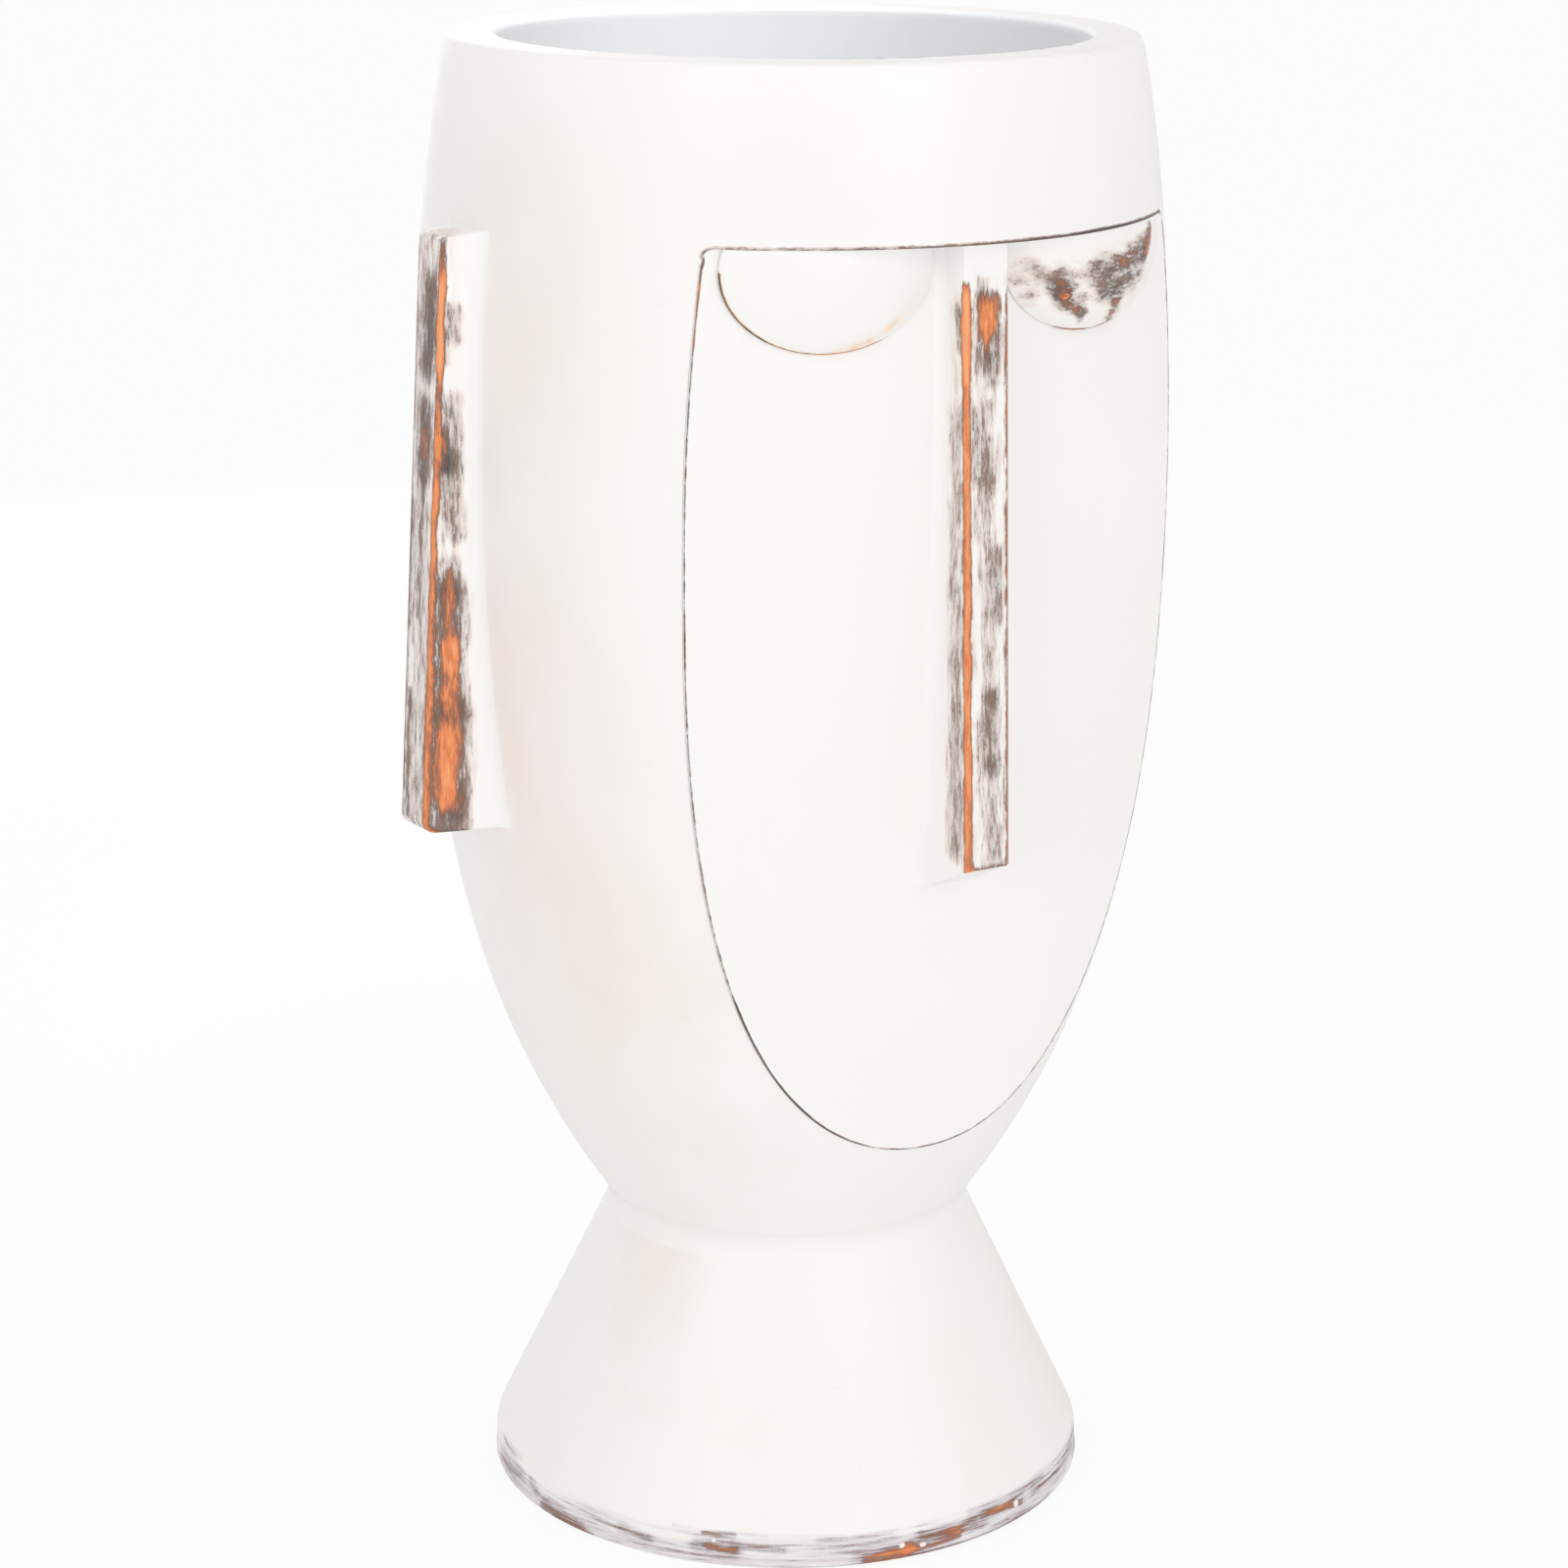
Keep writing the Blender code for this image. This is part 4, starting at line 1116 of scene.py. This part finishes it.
RIGHT_RUBS = marks(on_eyelid, [
    (0.030, 0.022, 0.088, 0.020, 0.0210, 0.28),
    (0.060, 0.018, 0.092, 0.011, 0.0090, 0.66),
    (0.097, 0.004, 0.092, 0.016, 0.0050, 0.60),
    (0.068, 0.026, 0.086, 0.022, 0.0110, 0.58),
    (0.075, 0.030, 0.078, 0.040, 0.0080, 0.55),
    (0.041, 0.022, 0.045, 0.026, 0.0088, 0.56),
    (0.043, 0.028, 0.056, 0.036, 0.0066, 0.56),
    (0.024, 0.016, 0.044, 0.024, 0.0110, 0.14),
    (0.054, 0.028, 0.056, 0.029, 0.0040, 0.45),
    (0.058, 0.036, 0.058, 0.040, 0.0040, 0.35),
    (0.065, 0.029, 0.066, 0.030, 0.0036, 0.35),
], 1)
RIGHT_BARES = marks(on_eyelid, [
    (0.070, 0.0150, 0.084, 0.0125, 0.0076, 0.44),
    (0.0965, 0.006, 0.0935, 0.014, 0.0040, 0.52),
    (0.076, 0.034, 0.077, 0.041, 0.0070, 0.46),
    (0.042, 0.023, 0.045, 0.026, 0.0074, 0.33),
    (0.045, 0.029, 0.054, 0.035, 0.0056, 0.38),
], 1)
RIGHT_RIM_DARK = marks(on_eyelid, [
    (0.043, 0.035, 0.061, 0.044, 0.009, 1.50),
    (0.072, 0.043, 0.098, 0.020, 0.010, 1.50),
], 1)
RIGHT_RIM_BARE = marks(on_eyelid, [
    (0.052, 0.042, 0.060, 0.044, 0.007, 0.75),
    (0.074, 0.042, 0.084, 0.036, 0.008, 0.70),
], 1)
right_eyelid.data.materials.append(rubbed_paint(
    "right_eyelid_paint", (0.0026, 0.0026, 0.0013), RIGHT_RUBS, RIGHT_BARES, staining=0.3,
    line=(0.0018, 0.0, RIGHT_RIM_DARK, 0.0, RIGHT_RIM_BARE)))
for eyelid_piece, cad_node, paint_slot in ((left_eyelid, "eyelid_left", "white_paint"),
                                           (right_eyelid, "eyelid_right", "rubbed_paint")):
    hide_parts(cad_node)
    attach(eyelid_piece, "root")

# The ears
# Two upright cast bars bonded on the sides of the head, level with the brow. The front arris of each is
# rubbed to orange, and a long worn patch runs down beside it to the round toe.
EAR_BELOW_BROW = 0.001
EAR_TOP = BROW_HEIGHT - EAR_BELOW_BROW
EAR_LENGTH = 0.256
EAR_HALF_THICKNESS = 0.0109
EAR_REACH_TOP = 0.0165
EAR_REACH_BOTTOM = 0.0340
EAR_DRAFT = radians(14.0)
EAR_EDGE_RADIUS = 0.0020
EAR_TOE_RADIUS = 0.0060
EAR_TOP_FALL = 0.0022
EAR_ROOT_SPREAD = 1.3
EAR_TOE_DEPTH = 0.020
TOE_POINTS = 30
ear_toe = EAR_TOP - EAR_LENGTH
ear_outer_top = (wall_radius(EAR_TOP) + EAR_REACH_TOP, EAR_TOP - EAR_TOP_FALL)
ear_outer_toe = (wall_radius(ear_toe) + EAR_REACH_BOTTOM, ear_toe)


def on_ear(side, depth, out, height):
    """A place on an ear: out is how far behind its outer face, on the front flank if depth is negative."""
    radii, heights = zip(ear_outer_toe, ear_outer_top)
    return (side * (float(np.interp(height, heights, radii)) - out), depth, height)


def on_ear_face(side, depth, height):
    """A place on the outer face of an ear."""
    return on_ear(side, depth, 0.0, height)


def ear_flank(side, out, height):
    """A place on the front flank of an ear."""
    return on_ear(side, -EAR_HALF_THICKNESS - tan(EAR_DRAFT) * out, out, height)


def round_side(across, height):
    """How far out the head's round side is, beside its widest line."""
    return sqrt(wall_radius(height) ** 2 - across ** 2)


def ear(name, side):
    form = bar(ear_outer_top, ear_outer_toe, EAR_TOP, ear_toe, round_side, EAR_HALF_THICKNESS, EAR_DRAFT,
               EAR_EDGE_RADIUS, EAR_EDGE_RADIUS, EAR_TOE_RADIUS)
    for vertex in form.verts:
        vertex.co = (side * vertex.co.y, vertex.co.x, vertex.co.z)
    face_outwards(form)
    piece = as_object(form, name)
    inset = EASED_SHARE * EAR_EDGE_RADIUS
    toe_centre = ear_toe + EAR_TOE_RADIUS
    edge_points = []
    for depth in (-EAR_HALF_THICKNESS + inset, EAR_HALF_THICKNESS - inset):
        edge_points += between(on_ear(side, depth, inset, ear_outer_top[1]),
                               on_ear(side, depth, inset, toe_centre))
        centre = Vector(on_ear(side, depth, EAR_TOE_RADIUS, toe_centre))
        reach = EAR_TOE_RADIUS - inset
        for a in np.linspace(0, pi / 2, TOE_POINTS):
            edge_points.append(centre + reach * Vector((side * cos(a), 0.0, -sin(a))))
        edge_points += between(on_ear(side, depth, EAR_TOE_RADIUS, ear_toe + inset),
                               on_ear(side, depth * EAR_ROOT_SPREAD, EAR_TOE_DEPTH, ear_toe + inset))
    note_arris(piece, edge_points)
    return piece


def ear_rubs(side):
    return marks(on_ear_face, [
        (0.0000, 0.583, 0.0000, 0.335, 0.0200, 0.40),
        (-0.0030, 0.562, -0.0020, 0.530, 0.0120, 0.74),
        (-0.0010, 0.510, 0.0000, 0.486, 0.0110, 0.66),
        (-0.0010, 0.482, 0.0010, 0.424, 0.0034, 0.40),
        (0.0090, 0.470, 0.0090, 0.420, 0.0050, 0.34),
        (0.0060, 0.390, 0.0050, 0.336, 0.0032, 0.50),
    ], side) + marks(ear_flank, [
        (0.0056, 0.553, 0.0066, 0.543, 0.0064, 0.38),
        (0.0024, 0.556, 0.0024, 0.532, 0.0034, 0.42),
        (0.0057, 0.516, 0.0065, 0.490, 0.0086, 0.58),
        (0.0065, 0.490, 0.0092, 0.460, 0.0090, 0.52),
        (0.0030, 0.503, 0.0036, 0.488, 0.0044, 0.46),
        (0.0079, 0.447, 0.0078, 0.436, 0.0092, 0.56),
        (0.0078, 0.434, 0.0088, 0.386, 0.0124, 0.96),
        (0.0092, 0.380, 0.0104, 0.334, 0.0150, 0.94),
        (0.0150, 0.352, 0.0150, 0.338, 0.0060, 0.34),
        (0.0170, 0.400, 0.0180, 0.360, 0.0080, 0.08),
    ], side)


def ear_bares(side):
    return marks(on_ear_face, [
        (-0.0010, 0.502, 0.0000, 0.492, 0.0056, 0.46),
        (-0.0070, 0.556, -0.0070, 0.534, 0.0040, 0.26),
    ], side) + marks(ear_flank, [
        (0.0030, 0.500, 0.0036, 0.490, 0.0036, 0.34),
        (0.0074, 0.444, 0.0090, 0.404, 0.0056, 0.56),
        (0.0088, 0.410, 0.0094, 0.346, 0.0092, 0.68),
        (0.0093, 0.372, 0.0100, 0.342, 0.0100, 0.34),
    ], side)


def front_arris(side, height_from, height_to):
    return [on_ear_face(side, -EAR_HALF_THICKNESS, height) for height in (height_from, height_to)]


for side, ear_name, cad_node in ((-1, "left_ear", "ear_left"), (1, "right_ear", "ear_right")):
    ear_piece = ear(ear_name, side)
    back_arris = [on_ear_face(side, EAR_HALF_THICKNESS, height) for height in (0.575, 0.334)]
    toe_arris = [on_ear(side, -EAR_HALF_THICKNESS, 0.004, ear_toe),
                 on_ear(side, -EAR_ROOT_SPREAD * EAR_HALF_THICKNESS, 0.014, ear_toe)]
    dark_line = [
        (*front_arris(side, 0.580, 0.334), 0.012, 0.60),
        (*back_arris, 0.012, 0.62),
        (*toe_arris, 0.008, 0.90),
    ]
    bare_line = [
        (*front_arris(side, 0.580, 0.334), 0.012, 0.86),
        (*toe_arris, 0.006, 0.50),
        (*front_arris(side, 0.562, 0.534), 0.012, 0.85),
        (*front_arris(side, 0.524, 0.512), 0.012, -0.30),
        (*front_arris(side, 0.583, 0.578), 0.012, -0.45),
    ]
    ear_piece.data.materials.append(rubbed_paint(
        ear_name + "_paint", (0.0007, 0.0007, 0.0042), ear_rubs(side), ear_bares(side), staining=0.08,
        line=(0.0030, 0.0, dark_line, 0.0, bare_line)))
    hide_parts(cad_node)
    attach(ear_piece, "root")

# The floor and the light
# A plain pale floor under a white surround, three tall soft boxes round the pot, a plain sky and a small
# lamp into the bowl.
FLOOR_SIZE = 40.0
FLOOR_PALE = seen(250, 250, 250)
FLOOR_ROUGHNESS = 0.9
FLOOR_WHITE_SHARE = 0.9
WHITE = (1.0, 1.0, 1.0, 1.0)
floor_form = bmesh.new()
bmesh.ops.create_grid(floor_form, x_segments=1, y_segments=1, size=FLOOR_SIZE)
floor_piece = as_object(floor_form, "floor")
floor_material, floor_tree, floor_shader = new_paint("floor_pale")
feed(floor_tree, floor_shader, {"Base Color": FLOOR_PALE, "Roughness": FLOOR_ROUGHNESS})
floor_glow = node(floor_tree, "Emission", {"Color": WHITE, "Strength": 1.0})
floor_path = node(floor_tree, "LightPath").outputs
floor_seen = times(floor_tree, floor_path["Is Camera Ray"], FLOOR_WHITE_SHARE)
floor_mix = node(floor_tree, "MixShader",
                 {0: floor_seen, 1: floor_shader.outputs[0], 2: floor_glow.outputs[0]})
feed(floor_tree, floor_tree.nodes["Material Output"], {"Surface": floor_mix.outputs[0]})
floor_piece.data.materials.append(floor_material)

SKY_LEVEL = 0.80
world = bpy.data.worlds.new("studio")
world.use_nodes = True
sky = world.node_tree
sky_path = node(sky, "LightPath").outputs
sky_shown = sums(sky, "MAXIMUM", sky_path["Is Camera Ray"],
                 sums(sky, "MAXIMUM", sky_path["Is Glossy Ray"], sky_path["Is Transmission Ray"]))
sky_white = node(sky, "Background", {"Color": WHITE, "Strength": 1.0})
sky_fill = node(sky, "Background", {"Color": WHITE, "Strength": SKY_LEVEL})
sky_mix = node(sky, "MixShader", {0: sky_shown, 1: sky_fill.outputs[0], 2: sky_white.outputs[0]})
feed(sky, sky.nodes["World Output"], {"Surface": sky_mix.outputs[0]})
bpy.context.scene.world = world


def stand(lamp, target, around, rise, away):
    """Stands a lamp away from its target, at an angle round from the face's side and risen above."""
    holder = bpy.data.objects.new(lamp.name, lamp)
    back = Vector((sin(around) * cos(rise), -cos(around) * cos(rise), sin(rise)))
    holder.location = target + away * back
    holder.rotation_euler = back.to_track_quat("Z", "Y").to_euler()
    bpy.context.scene.collection.objects.link(holder)


SOFT_BOX_TARGET = Vector((0.0, 0.0, TOTAL_HEIGHT / 2))
SOFT_BOX_AWAY = 2.2
SOFT_BOX_HEIGHT = 1.5
# each soft box: its degrees round the pot and above its middle, its width, and its power in watts
for box_name, around, rise, width, power in (("right_box", 4.0, 14.0, 0.9, 6.4),
                                             ("left_box", -62.0, 12.0, 0.7, 5.0),
                                             ("back_box", 165.0, 16.0, 0.9, 4.5)):
    soft_box = bpy.data.lights.new(box_name, "AREA")
    soft_box.shape = "RECTANGLE"
    soft_box.size = width
    soft_box.size_y = SOFT_BOX_HEIGHT
    soft_box.energy = power
    stand(soft_box, SOFT_BOX_TARGET, radians(around), radians(rise), SOFT_BOX_AWAY)

BOWL_TARGET = Vector((0.015, 0.140, TOTAL_HEIGHT - 0.040))
BOWL_LAMP_POWER = 46.0
BOWL_LAMP_SPREAD = radians(13.5)
BOWL_LAMP_RADIUS = 0.12
BOWL_LAMP_AROUND = radians(-14.0)
BOWL_LAMP_RISE = radians(48.0)
BOWL_LAMP_AWAY = 1.5
bowl_lamp = bpy.data.lights.new("bowl_lamp", "SPOT")
bowl_lamp.energy = BOWL_LAMP_POWER
bowl_lamp.spot_size = BOWL_LAMP_SPREAD
bowl_lamp.spot_blend = 1.0
bowl_lamp.shadow_soft_size = BOWL_LAMP_RADIUS
stand(bowl_lamp, BOWL_TARGET, BOWL_LAMP_AROUND, BOWL_LAMP_RISE, BOWL_LAMP_AWAY)

# The camera
# It stands to the left of the face and a little above the rim, and looks down at the middle of the pot.
CAMERA_AWAY = 1.76005
CAMERA_HEIGHT = 0.8138
CAMERA_AROUND = radians(32.5)
CAMERA_PITCH = radians(15.589)
CAMERA_ROLL = radians(0.323)
CAMERA_LENS = 92.54
CAMERA_SENSOR = 36.0
CAMERA_SHIFT = -0.003475
lens = bpy.data.cameras.new("camera")
lens.lens = CAMERA_LENS
lens.sensor_width = CAMERA_SENSOR
lens.shift_x = CAMERA_SHIFT
camera = bpy.data.objects.new("camera", lens)
camera.location = (-CAMERA_AWAY * sin(CAMERA_AROUND), -CAMERA_AWAY * cos(CAMERA_AROUND), CAMERA_HEIGHT)
looks = Matrix.Rotation(-CAMERA_AROUND, 4, "Z") @ Matrix.Rotation(pi / 2 - CAMERA_PITCH, 4, "X")
camera.rotation_euler = (looks @ Matrix.Rotation(CAMERA_ROLL, 4, "Z")).to_euler()
bpy.context.scene.collection.objects.link(camera)
bpy.context.scene.camera = camera
bpy.context.scene.view_settings.view_transform = "Standard"
